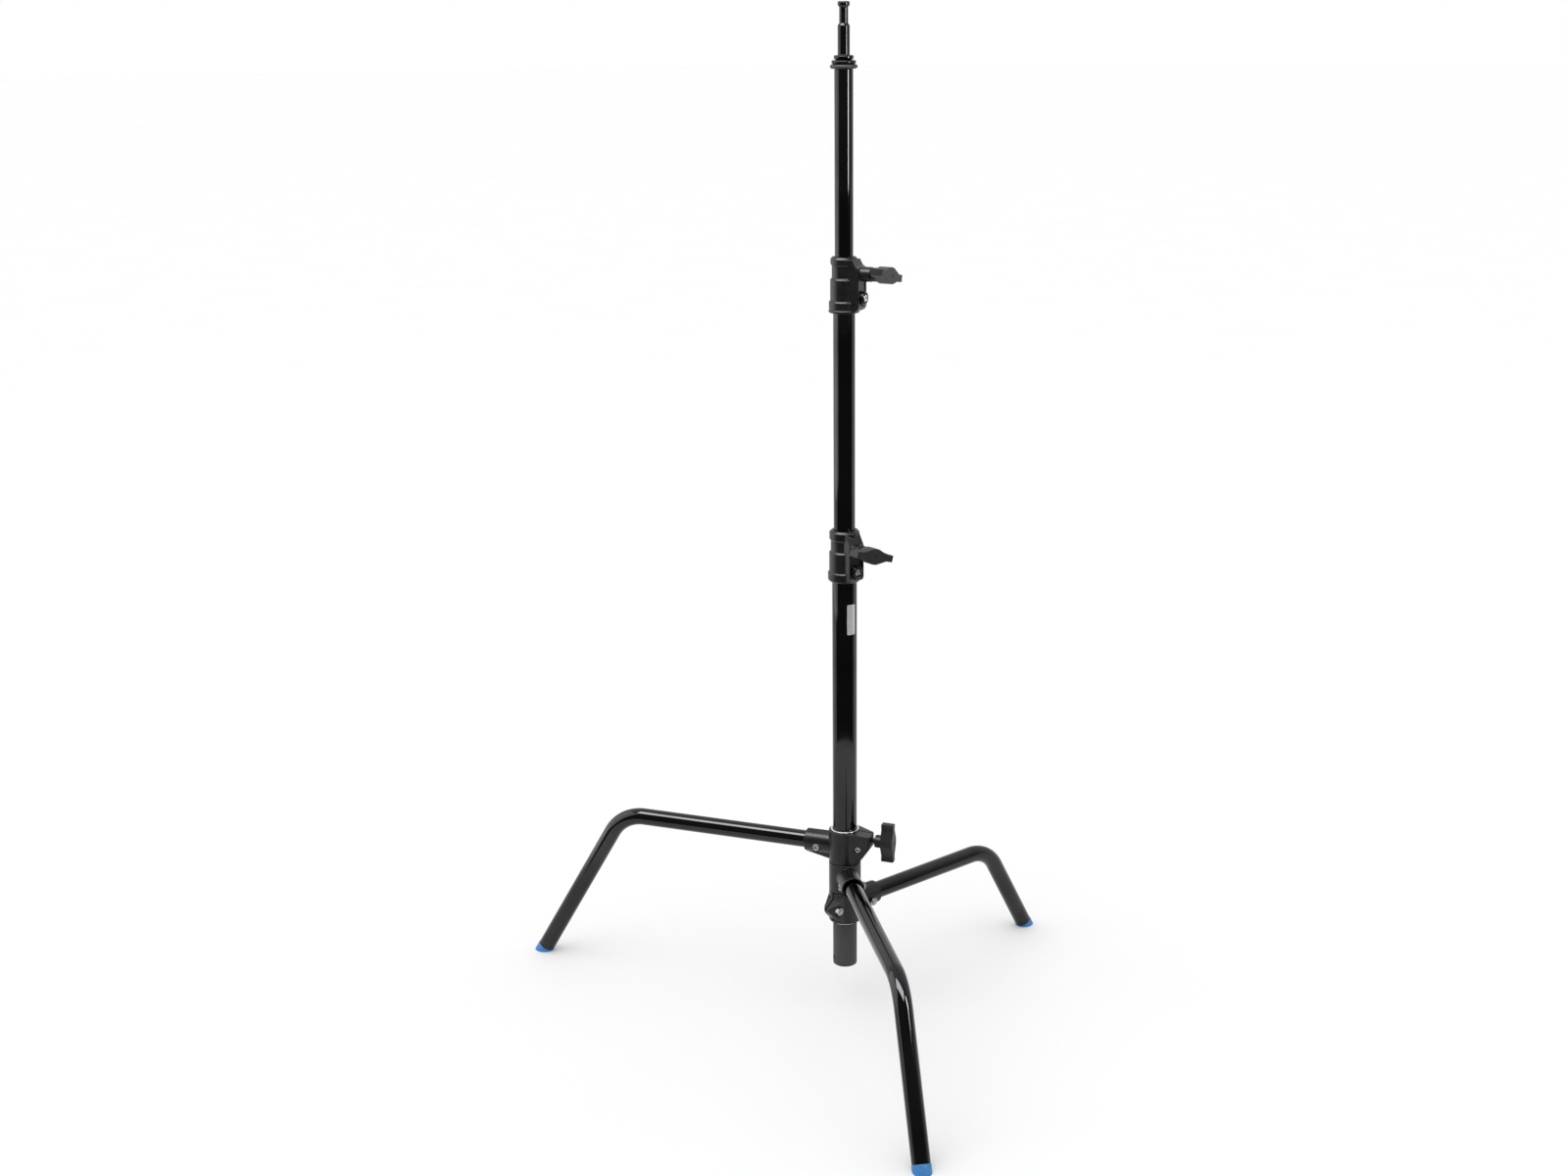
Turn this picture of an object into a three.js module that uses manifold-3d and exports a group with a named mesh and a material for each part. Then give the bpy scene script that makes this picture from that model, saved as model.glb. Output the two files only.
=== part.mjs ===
// A century stand: a turtle base with three nested legs, a lift-out column and two risers.
// Millimetres, +Z up. The pieces are laid out about the column's axis, and the last lines move the whole
// stand so that the origin is the middle of its footprint, on the floor.
import * as THREE from 'three';
import { ConvexGeometry } from 'three/addons/geometries/ConvexGeometry.js';
import { mergeVertices } from 'three/addons/utils/BufferGeometryUtils.js';
import Module from 'manifold-3d';

const wasm = await Module();
wasm.setup();

// ---------------------------------------------------------------- driving dimensions

const GAP = 0.3; // between neighbouring pieces
const ROUND = 24; // sides of a tube or a casting
const SMALL = 12; // sides of a bolt or a pin
const WALL = 2; // steel tube wall

const COLUMN_AT = [125.6, 39.3]; // where the column's axis stands, from the middle of the footprint

const COLUMN_R = 17.5; // base post and base column, 35 mm tube
const RISER_1_R = 15; // 30 mm tube
const RISER_2_R = 12.5; // 25 mm tube
const PIN_R = 8; // 16 mm baby pin
const SPIGOT_R = 14; // 28 mm spigot under the base column
const RECEIVER_R = SPIGOT_R + GAP; // bore of the base post that takes it

// Heights above the floor
const POST_BOTTOM = 58.7;
const POST_TOP = 272.4;
const SPIGOT_BOTTOM = 165;
const SPIGOT_TOP = 297;
const LOWER_COLLAR = { bottom: 645.3, flange: 660, step: 689, line: 705.5, top: 719, handle: 693.6, bolt: 663.2, boltFace: 31.2, boss: 39 };
const UPPER_COLLAR = { bottom: 1021, flange: 1037.5, step: 1067.5, line: 1085.3, top: 1096, handle: 1074, bolt: 1042, boltFace: 33, boss: 42 };
const RISER_1_BOTTOM = 612.6;
const RISER_2_BOTTOM = 882;
const RISER_2_TOP = 1339.3;
const PIN_TOP = 1424.6;

// Azimuths about the column, in degrees from +X
const LOWER_HANDLE_AZIMUTH = -32.9;
const UPPER_HANDLE_AZIMUTH = -7.5;
const LABEL_AZIMUTH = -39.3;

// Legs: azimuth, height of the arm, reach of the knee's corner, reach of the foot on the floor
const LEGS = {
  top: { azimuth: 180, height: 246.7, knee: 354, foot: 496.9 },
  middle: { azimuth: 300.4, height: 201.1, knee: 354, foot: 477.7 },
  low: { azimuth: 60.3, height: 155.1, knee: 293.8, foot: 384 },
};
const LEG_R = 12.5;
const LEG_SIDES = 20;
const LEG_BORE_SIDES = 10;
const CAP_SIDES = 24;
const LEG_BEND_R = 62; // centre line of the knee
const CAP_R = 13; // foot cap
const CAP_THIN = 1; // a cap's thickness at the inner side of the foot

// Hubs, measured from the arm's axis
const HUB_R = 23.2;
const HUB_BORE_R = COLUMN_R + GAP;
const SOCKET_R = 16.6;
const SOCKET_REACH = 58;
const SOCKET_RECESS = { radius: 15.1, depth: 5 };
const TUBE_START = 21.6;
const LEG_BOLT = { reach: 39, drop: 4.5, seat: 13.6 };
// Each hub's lobe has a wide ear and a narrow ear. The wide ear is on the side of +Y (wide: 1) or of -Y
// (wide: -1), and the heads of the hub's bolts are on the side of +Y (heads: 1) or of -Y (heads: -1).
const HUB_SHAPES = {
  top: { top: 23.9, bottom: -24.3, ridge: 19, wide: 1, heads: 1, lobe: 'flat' },
  middle: { top: 19.7, bottom: -24, ridge: 19.7, wide: 1, heads: -1, lobe: 'peaked' },
  low: { top: 20.4, bottom: -25.8, ridge: 20.4, wide: -1, heads: 1, lobe: 'peaked' },
};
// A lobe's reach from the column's axis and half-width, its clamp bolt's place, and the seats in its two ears
const LOBES = {
  flat: { reach: 44, half: 19.5, bolt: 25.2, rise: 1.3, wideSeat: 14.2, narrowSeat: 9.5 },
  peaked: { reach: 38, half: 17, bolt: 24.8, rise: -2.2, wideSeat: 13, narrowSeat: 9 },
};
const WASHER_THICK = 1;
const SLIT = 2.2; // split in each lobe

const BOLT_R = 3; // M6
const HEAD_R = 5.2;
const SCREW_R = 4; // M8 T-handle screws
const KNOB_SCREW_HEIGHT = 11.3; // above the top arm's axis
const PAD = { radius: 5, thick: 2.3 };
const PAD_TRAVEL = 2;

// A collar's clamp block: how far its walls reach, and the channel between the walls
const BLOCK = { reach: 27.5, half: 12.6, channel: 10.6, floorDepth: 7 };
const NECK_GAP = 2; // between a collar's boss and the neck of its T-handle
const COLLAR_BOLT_R = 8.6; // the collar bolt's wide head
const COLLAR_WASHER_R = 9.4;

// T-handle: a bar on a neck, turned by hand
const KNOB_HALF = 28.6; // half the bar's length on the base
const HANDLE_HALF = 31.8; // and on the collars
const HANDLE = { endHalf: 4.8, endLength: 7.5, middleHalf: 11, neckR: 9.3, neck: 9.5, depth: 18 };

// ---------------------------------------------------------------- materials

const FINISHES = {
  blackChrome: { color: 0x0b0b0c, roughness: 0.18, metalness: 1 },
  casting: { color: 0x151515, roughness: 0.6, metalness: 0.3 },
  post: { color: 0x2b2b2c, roughness: 0.5, metalness: 0.6 },
  plastic: { color: 0x121213, roughness: 0.5, metalness: 0 },
  zinc: { color: 0xbdbcb6, roughness: 0.3, metalness: 1 },
  blackSteel: { color: 0x161617, roughness: 0.35, metalness: 0.8 },
  blueVinyl: { color: 0x2471b2, roughness: 0.45, metalness: 0 },
  bush: { color: 0xe6e2d6, roughness: 0.5, metalness: 0 },
  label: { color: 0xc9cacb, roughness: 0.4, metalness: 0.2 },
};

// ---------------------------------------------------------------- geometry helpers

// A closed geometry as a solid that can be joined and cut
function toSolid(geometry) {
  const bare = geometry.index ? geometry.toNonIndexed() : geometry.clone();
  bare.deleteAttribute('normal');
  bare.deleteAttribute('uv');
  const merged = mergeVertices(bare, 1e-4);
  return new wasm.Manifold(new wasm.Mesh({
    numProp: 3,
    vertProperties: merged.attributes.position.array,
    triVerts: new Uint32Array(merged.index.array),
  }));
}

function toGeometry(solid) {
  const { vertProperties, triVerts } = solid.getMesh();
  const geometry = new THREE.BufferGeometry();
  geometry.setAttribute('position', new THREE.BufferAttribute(vertProperties, 3));
  geometry.setIndex(new THREE.BufferAttribute(triVerts, 1));
  return geometry;
}

function joined(first, ...others) {
  return toGeometry(others.reduce((sum, piece) => sum.add(toSolid(piece)), toSolid(first)));
}

function cut(first, ...tools) {
  return toGeometry(tools.reduce((rest, tool) => rest.subtract(toSolid(tool)), toSolid(first)));
}

function common(first, second) {
  return toGeometry(toSolid(first).intersect(toSolid(second)));
}

// A solid of revolution about Z. The outline is [radius, height] pairs, anticlockwise, and closes on itself
// or starts and ends on the axis.
function turned(outline, sides = ROUND) {
  const points = outline.map(([radius, height]) => new THREE.Vector2(radius, height));
  return new THREE.LatheGeometry(points, sides).rotateX(Math.PI / 2);
}

function rod(radius, from, to, sides = SMALL) {
  return turned([[0, from], [radius, from], [radius, to], [0, to]], sides);
}

function tube(outer, inner, from, to, sides = ROUND) {
  return turned([[inner, from], [outer, from], [outer, to], [inner, to], [inner, from]], sides);
}

function box(low, high) {
  const size = high.map((value, axis) => value - low[axis]);
  const middle = high.map((value, axis) => (value + low[axis]) / 2);
  return new THREE.BoxGeometry(...size).translate(...middle);
}

// A flat outline of [x, y] pairs, raised from one height to another
function prism(outline, from, to) {
  const shape = new THREE.Shape(outline.map(([x, y]) => new THREE.Vector2(x, y)));
  return new THREE.ExtrudeGeometry(shape, { depth: to - from, bevelEnabled: false }).translate(0, 0, from);
}

// A side view of [x, z] pairs, made as wide as halfWidth to each side
function slab(outline, halfWidth) {
  return prism(outline, -halfWidth, halfWidth).rotateX(Math.PI / 2);
}

// Turn what was made along +Z to lie along +X or +Y
const alongX = (geometry) => geometry.rotateY(Math.PI / 2);
const alongY = (geometry) => geometry.rotateX(-Math.PI / 2);
// Face what lies along Y to +Y (side 1) or to -Y (side -1)
const sideways = (geometry, side) => geometry.rotateZ(side > 0 ? 0 : Math.PI);

function piece(name, finish, geometry) {
  geometry.computeVertexNormals();
  const mesh = new THREE.Mesh(geometry, new THREE.MeshStandardMaterial(FINISHES[finish]));
  mesh.name = name;
  return mesh;
}

function group(azimuth, height, ...children) {
  const holder = new THREE.Group();
  holder.rotation.z = THREE.MathUtils.degToRad(azimuth);
  holder.position.z = height;
  holder.add(...children);
  return holder;
}

// ---------------------------------------------------------------- fasteners

// A socket-head bolt along +Y, its head's outer face at y = face and its tip at y = tip
function bolt(name, finish, face, tip, headLength, headRadius = HEAD_R) {
  const under = face - headLength;
  const shape = turned([
    [0, tip],
    [BOLT_R, tip],
    [BOLT_R, under],
    [headRadius, under],
    [headRadius, face - 0.6],
    [headRadius - 0.6, face],
    [0, face],
  ], SMALL);
  const hexSocket = rod(2.9, face - headLength * 0.6, face + 1, 6);
  return piece(name, finish, alongY(cut(shape, hexSocket)));
}

// A plain nut on the same line, standing outwards from y = seat towards -Y
function nut(name, seat, thick) {
  const body = rod(6.2, -seat - GAP - thick, -seat - GAP, 6);
  const hole = rod(BOLT_R + GAP, -seat - thick - 5, 5, SMALL);
  return piece(name, 'zinc', alongY(cut(body, hole)));
}

// ---------------------------------------------------------------- T-handle, screw and brake pad

// The three pieces lie along +X: the pad touches at x = touch, and the handle's neck starts at x = neck
function handleSet(names, half, touch, neck, barAngle) {
  const screwStart = touch + PAD.thick + GAP;
  const screwEnd = neck + 20;
  const pad = rod(PAD.radius, touch, touch + PAD.thick);
  const screw = rod(SCREW_R, screwStart, screwEnd);
  const side = half - HANDLE.endLength;
  const upper = [
    [half, HANDLE.endHalf],
    [side, HANDLE.endHalf],
    [4, HANDLE.middleHalf],
    [-4, HANDLE.middleHalf],
    [-side, HANDLE.endHalf],
    [-half, HANDLE.endHalf],
  ];
  const lower = upper.map(([x, y]) => [-x, -y]);
  const barStart = neck + HANDLE.neck;
  const bar = prism([...upper, ...lower], barStart, barStart + HANDLE.depth);
  const stem = rod(HANDLE.neckR, neck, barStart + 1);
  const insert = rod(SCREW_R + GAP, neck - 1, screwEnd + GAP);
  const grip = cut(joined(bar, stem), insert).rotateZ(THREE.MathUtils.degToRad(barAngle));
  return [
    piece(names.pad, 'bush', alongX(pad)),
    piece(names.screw, 'zinc', alongX(screw)),
    piece(names.handle, 'plastic', alongX(grip)),
  ];
}

// ---------------------------------------------------------------- turtle base

// The gable over a leg socket: a ridge from the hub down to the socket's mouth, with flanks that meet the
// socket's round sides
function roof(ridgeAtHub) {
  const ends = [[0, ridgeAtHub], [SOCKET_REACH - 2, SOCKET_R + 0.8]];
  const corners = ends.flatMap(([x, ridge]) => {
    const lean = Math.acos(SOCKET_R / ridge);
    const [half, shoulder] = [SOCKET_R * Math.sin(lean), SOCKET_R * Math.cos(lean)];
    return [[x, 0, ridge], [x, -half, shoulder], [x, half, shoulder], [x, -half, 0], [x, half, 0]];
  });
  return new ConvexGeometry(corners.map((corner) => new THREE.Vector3(...corner)));
}

// A hub casting with its leg socket along +X and its split clamping lobe along -X
function hubCasting({ top, bottom, ridge, wide, lobe }) {
  const body = turned([
    [0, bottom],
    [HUB_R - 1, bottom],
    [HUB_R, bottom + 1],
    [HUB_R, top - 1],
    [HUB_R - 1, top],
    [0, top],
  ]);
  const socket = alongX(rod(SOCKET_R, 0, SOCKET_REACH, ROUND));
  const web = slab([
    [0, 0],
    [SOCKET_REACH - 1, 0],
    [SOCKET_REACH - 1, -SOCKET_R],
    [HUB_R - 2, bottom],
    [0, bottom],
  ], 5);
  const { reach, half } = LOBES[lobe];
  const flat = lobe === 'flat';
  const side = flat
    ? [[0, top], [-20, top], [-reach, top - 1], [-reach, 6], [-32, -12], [-HUB_R, bottom + 3], [0, bottom + 3]]
    : [[0, 15], [-18, 15], [-24, 11.5], [1.5 - reach, 1], [-reach, -2.5], [5 - reach, -9.5], [-19, -23], [0, -23]];
  const plan = [
    [0, -half],
    [9 - HUB_R, -half],
    [1.5 - reach, -4.5],
    [-reach, 0],
    ...(flat ? [[0.5 - reach, half - 1], [4 - reach, half]] : [[-reach, 4.5], [12 - reach, half]]),
    [0, half],
  ].map(([x, y]) => [x, wide * y]);
  const ears = common(slab(side, half + 1), prism(plan, bottom - 1, top + 1));
  const bosses = alongY(rod(7, -LEG_BOLT.seat - 2.4, LEG_BOLT.seat + 2.4)).translate(LEG_BOLT.reach, 0, -LEG_BOLT.drop);
  return joined(body, socket, roof(ridge), web, ears, bosses);
}

// Tools for a cross hole along Y with a sink for the bolt's head on one side and for its nut on the other
function crossBolt(x, z, headSeat, nutSeat, heads) {
  const tools = [
    rod(BOLT_R + GAP, -40, 40),
    rod(HEAD_R + GAP, headSeat, 40),
    rod(7, -40, -nutSeat),
  ];
  return tools.map((tool) => sideways(alongY(tool), heads).translate(x, 0, z));
}

// The seats of a clamp bolt's head and of its nut
function clampSeats({ lobe, wide, heads }) {
  const { wideSeat, narrowSeat } = LOBES[lobe];
  return wide === heads ? [wideSeat, narrowSeat] : [narrowSeat, wideSeat];
}

function hub(name, shape) {
  const lobe = LOBES[shape.lobe];
  const tools = [
    rod(HUB_BORE_R, -40, 40, ROUND),
    alongX(rod(LEG_R + GAP, TUBE_START - GAP, SOCKET_REACH + 5, 24)),
    alongX(rod(SOCKET_RECESS.radius, SOCKET_REACH - SOCKET_RECESS.depth, SOCKET_REACH + 5, 24)),
    box([-60, -SLIT / 2, -40], [-10, SLIT / 2, 40]),
    ...crossBolt(LEG_BOLT.reach, -LEG_BOLT.drop, LEG_BOLT.seat, LEG_BOLT.seat + 2.2, shape.heads),
    ...crossBolt(-lobe.bolt, lobe.rise, ...clampSeats(shape), shape.heads),
  ];
  if (shape.lobe === 'flat') {
    const screwHole = alongX(rod(SCREW_R + GAP, -60, -10));
    const padHole = alongX(rod(PAD.radius + GAP, -COLUMN_R - PAD_TRAVEL, -10));
    tools.push(screwHole.translate(0, 0, KNOB_SCREW_HEIGHT), padHole.translate(0, 0, KNOB_SCREW_HEIGHT));
  }
  return piece(`${name}_hub`, 'casting', cut(hubCasting(shape), ...tools));
}

// The centre line of a leg tube in the plane of +X and Z: arm, round knee, lower leg
class LegLine extends THREE.Curve {
  constructor({ knee, foot, height }) {
    super();
    const slope = Math.atan2(foot - knee, height); // the lower leg's lean from upright
    const turn = Math.PI / 2 - slope;
    const setback = LEG_BEND_R * Math.tan(turn / 2);
    const down = new THREE.Vector3(Math.sin(slope), 0, -Math.cos(slope));
    const arcSteps = 7;
    this.stations = [{ point: new THREE.Vector3(TUBE_START, 0, 0), tangent: new THREE.Vector3(1, 0, 0) }];
    for (let step = 0; step <= arcSteps; step++) {
      const angle = (turn * step) / arcSteps;
      const x = knee - setback + LEG_BEND_R * Math.sin(angle);
      const z = LEG_BEND_R * (Math.cos(angle) - 1);
      const tangent = new THREE.Vector3(Math.cos(angle), 0, -Math.sin(angle));
      this.stations.push({ point: new THREE.Vector3(x, 0, z), tangent });
    }
    this.slope = slope;
    this.down = down;
    const endHeight = CAP_THIN / Math.cos(slope) + CAP_R * Math.sin(slope);
    const toFloor = endHeight / Math.cos(slope);
    this.end = new THREE.Vector3(foot, 0, -height).addScaledVector(down, -toFloor);
    this.stations.push({ point: this.end, tangent: down });
  }
  at(t) {
    return this.stations[Math.round(t * (this.stations.length - 1))];
  }
  getPointAt(t) {
    return this.at(t).point.clone();
  }
  getTangentAt(t) {
    return this.at(t).tangent.clone();
  }
}

function ringPoints(radius, sides) {
  return Array.from({ length: sides }, (_, side) => {
    const angle = (2 * Math.PI * side) / sides;
    return new THREE.Vector2(radius * Math.cos(angle), radius * Math.sin(angle));
  });
}

function legTube(name, line) {
  const section = new THREE.Shape(ringPoints(LEG_R, LEG_SIDES));
  section.holes.push(new THREE.Path(ringPoints(LEG_R - WALL, LEG_BORE_SIDES).reverse()));
  const steps = line.stations.length - 1;
  const swept = new THREE.ExtrudeGeometry(section, { steps, extrudePath: line });
  const hole = alongY(rod(BOLT_R + GAP, -40, 40)).translate(LEG_BOLT.reach, 0, -LEG_BOLT.drop);
  return piece(`${name}_leg_tube`, 'blackChrome', cut(swept, hole));
}

// A foot cap: a plug in the tube's end and a wedge that fills down to the floor
function footCap(name, line, height) {
  const plugLength = 22;
  const plugRadius = (LEG_R - WALL) * Math.cos(Math.PI / LEG_BORE_SIDES) - GAP; // clears the bore's flat sides
  const shape = turned([
    [0, -plugLength],
    [plugRadius, -plugLength],
    [plugRadius, GAP],
    [CAP_R, GAP],
    [CAP_R, 40],
    [0, 40],
  ], CAP_SIDES);
  const leant = shape.rotateY(Math.PI - line.slope).translate(line.end.x, 0, line.end.z);
  const belowFloor = box([0, -50, -height - 100], [line.end.x + 200, 50, -height]);
  return piece(`${name}_foot_cap`, 'blueVinyl', cut(leant, belowFloor));
}

function leg(name) {
  const spec = LEGS[name];
  const shape = HUB_SHAPES[name];
  const lobe = LOBES[shape.lobe];
  const [headSeat, nutSeat] = clampSeats(shape);
  const line = new LegLine(spec);
  const atLeg = (mesh) => placeBolt(mesh, LEG_BOLT.reach, -LEG_BOLT.drop, shape.heads);
  const atLobe = (mesh) => placeBolt(mesh, -lobe.bolt, lobe.rise, shape.heads);
  return group(
    spec.azimuth,
    spec.height,
    hub(name, shape),
    legTube(name, line),
    footCap(name, line, spec.height),
    atLeg(bolt(`${name}_leg_bolt`, 'zinc', LEG_BOLT.seat + GAP + 3, -LEG_BOLT.seat - 9.5, 3)),
    atLeg(nut(`${name}_leg_nut`, LEG_BOLT.seat + 2.2, 5)),
    atLobe(bolt(`${name}_clamp_bolt`, 'zinc', headSeat + GAP + 3, -nutSeat - 6.5, 3)),
    atLobe(nut(`${name}_clamp_nut`, nutSeat, 5)),
  );
}

function placeBolt(mesh, x, z, heads) {
  mesh.position.set(x, 0, z);
  mesh.rotation.z = heads > 0 ? 0 : Math.PI;
  return mesh;
}

function basePost() {
  const low = LEGS.low.height + HUB_SHAPES.low.bottom; // the low hub's underside
  const groove = { top: low - 2.1, bottom: low - 4.2, radius: COLUMN_R - 1.1 };
  const shape = turned([
    [RECEIVER_R, POST_BOTTOM],
    [COLUMN_R - 0.8, POST_BOTTOM],
    [COLUMN_R, POST_BOTTOM + 0.8],
    [COLUMN_R, groove.bottom],
    [groove.radius, groove.bottom],
    [groove.radius, groove.top],
    [COLUMN_R, groove.top],
    [COLUMN_R, POST_TOP],
    [RECEIVER_R, POST_TOP],
    [RECEIVER_R, POST_BOTTOM],
  ]);
  const padHole = alongX(rod(PAD.radius + GAP, 5, 30)).translate(0, 0, LEGS.top.height + KNOB_SCREW_HEIGHT);
  const crossHole = alongX(rod(3, -30, 0)).rotateZ(THREE.MathUtils.degToRad(38)).translate(0, 0, POST_BOTTOM + 11);
  const post = piece('base_post', 'post', cut(shape, padHole, crossHole));
  const topRing = piece('post_top_ring', 'zinc', tube(COLUMN_R + 3, COLUMN_R + GAP, POST_TOP - 1.5, POST_TOP + 0.5));
  const bottomWasher = piece('bottom_washer', 'zinc', tube(COLUMN_R + 2, COLUMN_R + GAP, low - 2.1, low - GAP));
  return [post, topRing, bottomWasher, retainingRing(groove)];
}

// A snap ring in the post's groove, open at the back so that it can be spread over the post
function retainingRing({ top, bottom, radius }) {
  const ring = tube(COLUMN_R + 1, radius + GAP, bottom + GAP, top - GAP);
  const opening = box([-4, 0, bottom - 5], [4, 30, top + 5]);
  return piece('retaining_ring', 'blackSteel', cut(ring, opening));
}

function thrustWasher(name, upper) {
  const top = LEGS[upper].height + HUB_SHAPES[upper].bottom - GAP;
  return piece(name, 'blackSteel', tube(HUB_R - 1, COLUMN_R + GAP, top - WASHER_THICK, top));
}

function turtleBase() {
  const knob = handleSet(
    { pad: 'column_brake_pad', screw: 'column_knob_screw', handle: 'column_knob_handle' },
    KNOB_HALF,
    SPIGOT_R + GAP,
    47,
    0,
  );
  const holder = group(0, LEGS.top.height + KNOB_SCREW_HEIGHT, ...knob);
  return [
    ...basePost(),
    thrustWasher('upper_thrust_washer', 'top'),
    thrustWasher('lower_thrust_washer', 'middle'),
    leg('top'),
    leg('middle'),
    leg('low'),
    holder,
  ];
}

// ---------------------------------------------------------------- collars

// The clamp block of a collar along +X, measured from its handle's axis: two walls with a channel between
// them, and a ramp from the collar's top down to the boss of the handle's screw
function clampBlock(drop, rise, bossReach) {
  const side = slab([
    [0, -drop],
    [BLOCK.reach - 6, -drop],
    [BLOCK.reach - 2, 2 - drop],
    [BLOCK.reach, 6 - drop],
    [BLOCK.reach, 6],
    [BLOCK.reach - 1.5, 9],
    [22.5, rise - 8],
    [20, rise - 4],
    [18, rise],
    [0, rise],
  ], BLOCK.half);
  const boss = alongX(rod(10, 0, bossReach, ROUND));
  return joined(side, boss);
}

function collarTools(tubeRadius, riserRadius, levels) {
  const shoulder = levels.step - 3;
  const padReach = riserRadius + GAP + PAD.thick + PAD_TRAVEL;
  const floorAt = levels.boltFace - BLOCK.floorDepth;
  const boltDrop = levels.handle - levels.bolt;
  const atHandle = [
    box([floorAt, -BLOCK.channel, -boltDrop], [60, BLOCK.channel, -10.5]),
    alongX(rod(BLOCK.channel, floorAt, 60, ROUND)).translate(0, 0, -boltDrop),
    alongX(rod(SCREW_R + GAP, 5, 60)),
    alongX(rod(PAD.radius + GAP, 5, padReach)),
    alongX(rod(BOLT_R + GAP, 5, 60)).translate(0, 0, -boltDrop),
  ].map((tool) => tool.translate(0, 0, levels.handle));
  return [
    rod(tubeRadius + GAP, levels.bottom - 5, shoulder, ROUND),
    rod(riserRadius + GAP, levels.bottom - 5, levels.top + 5, ROUND),
    ...atHandle,
  ];
}

function collar(name, outline, tubeRadius, riserRadius, levels, azimuth) {
  const body = turned([[0, levels.bottom], ...outline, [0, levels.top]]);
  const block = clampBlock(levels.handle - levels.bottom - 3, levels.top - levels.handle - 3, levels.boss);
  const casting = joined(body, block.translate(0, 0, levels.handle));
  const shell = piece(name, 'casting', cut(casting, ...collarTools(tubeRadius, riserRadius, levels)));
  const seat = levels.boltFace - BLOCK.floorDepth + GAP;
  const washer = alongX(tube(COLLAR_WASHER_R, BOLT_R + GAP, seat, seat + 1.6)).translate(0, 0, levels.bolt);
  const screw = bolt(`${name}_bolt`, 'blackSteel', levels.boltFace, tubeRadius - WALL + GAP, 4.7, COLLAR_BOLT_R);
  screw.rotation.z = -Math.PI / 2; // from +Y to +X
  screw.position.z = levels.bolt;
  return [
    group(azimuth, 0, shell, piece(`${name}_washer`, 'blackSteel', washer), screw),
  ];
}

function lowerCollar() {
  const { bottom, flange, step, line, top } = LOWER_COLLAR;
  const outline = [
    [19.5, bottom],
    [23.2, bottom + 3.5],
    [23.2, flange - 2],
    [21.4, flange],
    [21.4, step - 2],
    [19.2, step + 0.5],
    [19.2, line - 1],
    [21.1, line + 1.5],
    [21.1, top - 3.5],
    [18, top],
  ];
  return collar('lower_collar', outline, COLUMN_R, RISER_1_R, LOWER_COLLAR, LOWER_HANDLE_AZIMUTH);
}

function upperCollar() {
  const { bottom, flange, step, line, top } = UPPER_COLLAR;
  const outline = [
    [19.4, bottom],
    [21.2, bottom + 1],
    [21.2, bottom + 3.4],
    [20.1, bottom + 4.2],
    [20.1, bottom + 5.4],
    [20.7, bottom + 6.2],
    [20.7, flange - 1.5],
    [18.8, flange],
    [18.8, step - 2],
    [16.6, step],
    [16.6, line - 1.5],
    [18.4, line + 1],
    [18.4, top - 2.5],
    [16, top],
  ];
  return collar('upper_collar', outline, RISER_1_R, RISER_2_R, UPPER_COLLAR, UPPER_HANDLE_AZIMUTH);
}

function collarHandle(prefix, riserRadius, levels, azimuth, barAngle) {
  const names = { pad: `${prefix}_brake_pad`, screw: `${prefix}_handle_screw`, handle: `${prefix}_handle` };
  const pieces = handleSet(names, HANDLE_HALF, riserRadius + GAP, levels.boss + NECK_GAP, barAngle);
  return group(azimuth, levels.handle, ...pieces);
}

// ---------------------------------------------------------------- column and risers

function column() {
  const spigot = turned([
    [SPIGOT_R - 3, SPIGOT_BOTTOM],
    [SPIGOT_R - 1.5, SPIGOT_BOTTOM],
    [SPIGOT_R, SPIGOT_BOTTOM + 1.5],
    [SPIGOT_R, POST_TOP],
    [COLUMN_R - WALL - GAP, POST_TOP + GAP],
    [COLUMN_R - WALL - GAP, SPIGOT_TOP],
    [SPIGOT_R - 3, SPIGOT_TOP],
    [SPIGOT_R - 3, SPIGOT_BOTTOM],
  ]);
  const shaft = tube(COLUMN_R, COLUMN_R - WALL + 0.1, POST_TOP + GAP, LOWER_COLLAR.step - 3 - GAP);
  const rivetHole = alongY(rod(2.8, 5, 30)).translate(0, 0, SPIGOT_TOP - 10);
  const boltHole = alongX(rod(BOLT_R + GAP, 5, 30))
    .rotateZ(THREE.MathUtils.degToRad(LOWER_HANDLE_AZIMUTH))
    .translate(0, 0, LOWER_COLLAR.bolt);
  const rivet = turned([[0, 12], [2.5, 12], [2.5, 18], [4.2, 18], [3, 19.2], [0, 19.2]], SMALL);
  return [
    piece('column_spigot', 'blackSteel', cut(spigot, rivetHole.clone())),
    piece('base_column', 'blackChrome', cut(shaft, rivetHole, boltHole)),
    piece('spigot_rivet', 'blackSteel', alongY(rivet).translate(0, 0, SPIGOT_TOP - 10)),
    label(),
  ];
}

// A thin metal label wrapped on the column
function label() {
  const halfAngle = 0.36;
  const inner = COLUMN_R + GAP;
  const outer = inner + 0.4;
  const shape = new THREE.Shape();
  shape.absarc(0, 0, outer, -halfAngle, halfAngle, false);
  shape.absarc(0, 0, inner, halfAngle, -halfAngle, true);
  const plate = new THREE.ExtrudeGeometry(shape, { depth: 44, bevelEnabled: false, curveSegments: 3 });
  return group(LABEL_AZIMUTH, 570, piece('column_label', 'label', plate));
}

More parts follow.
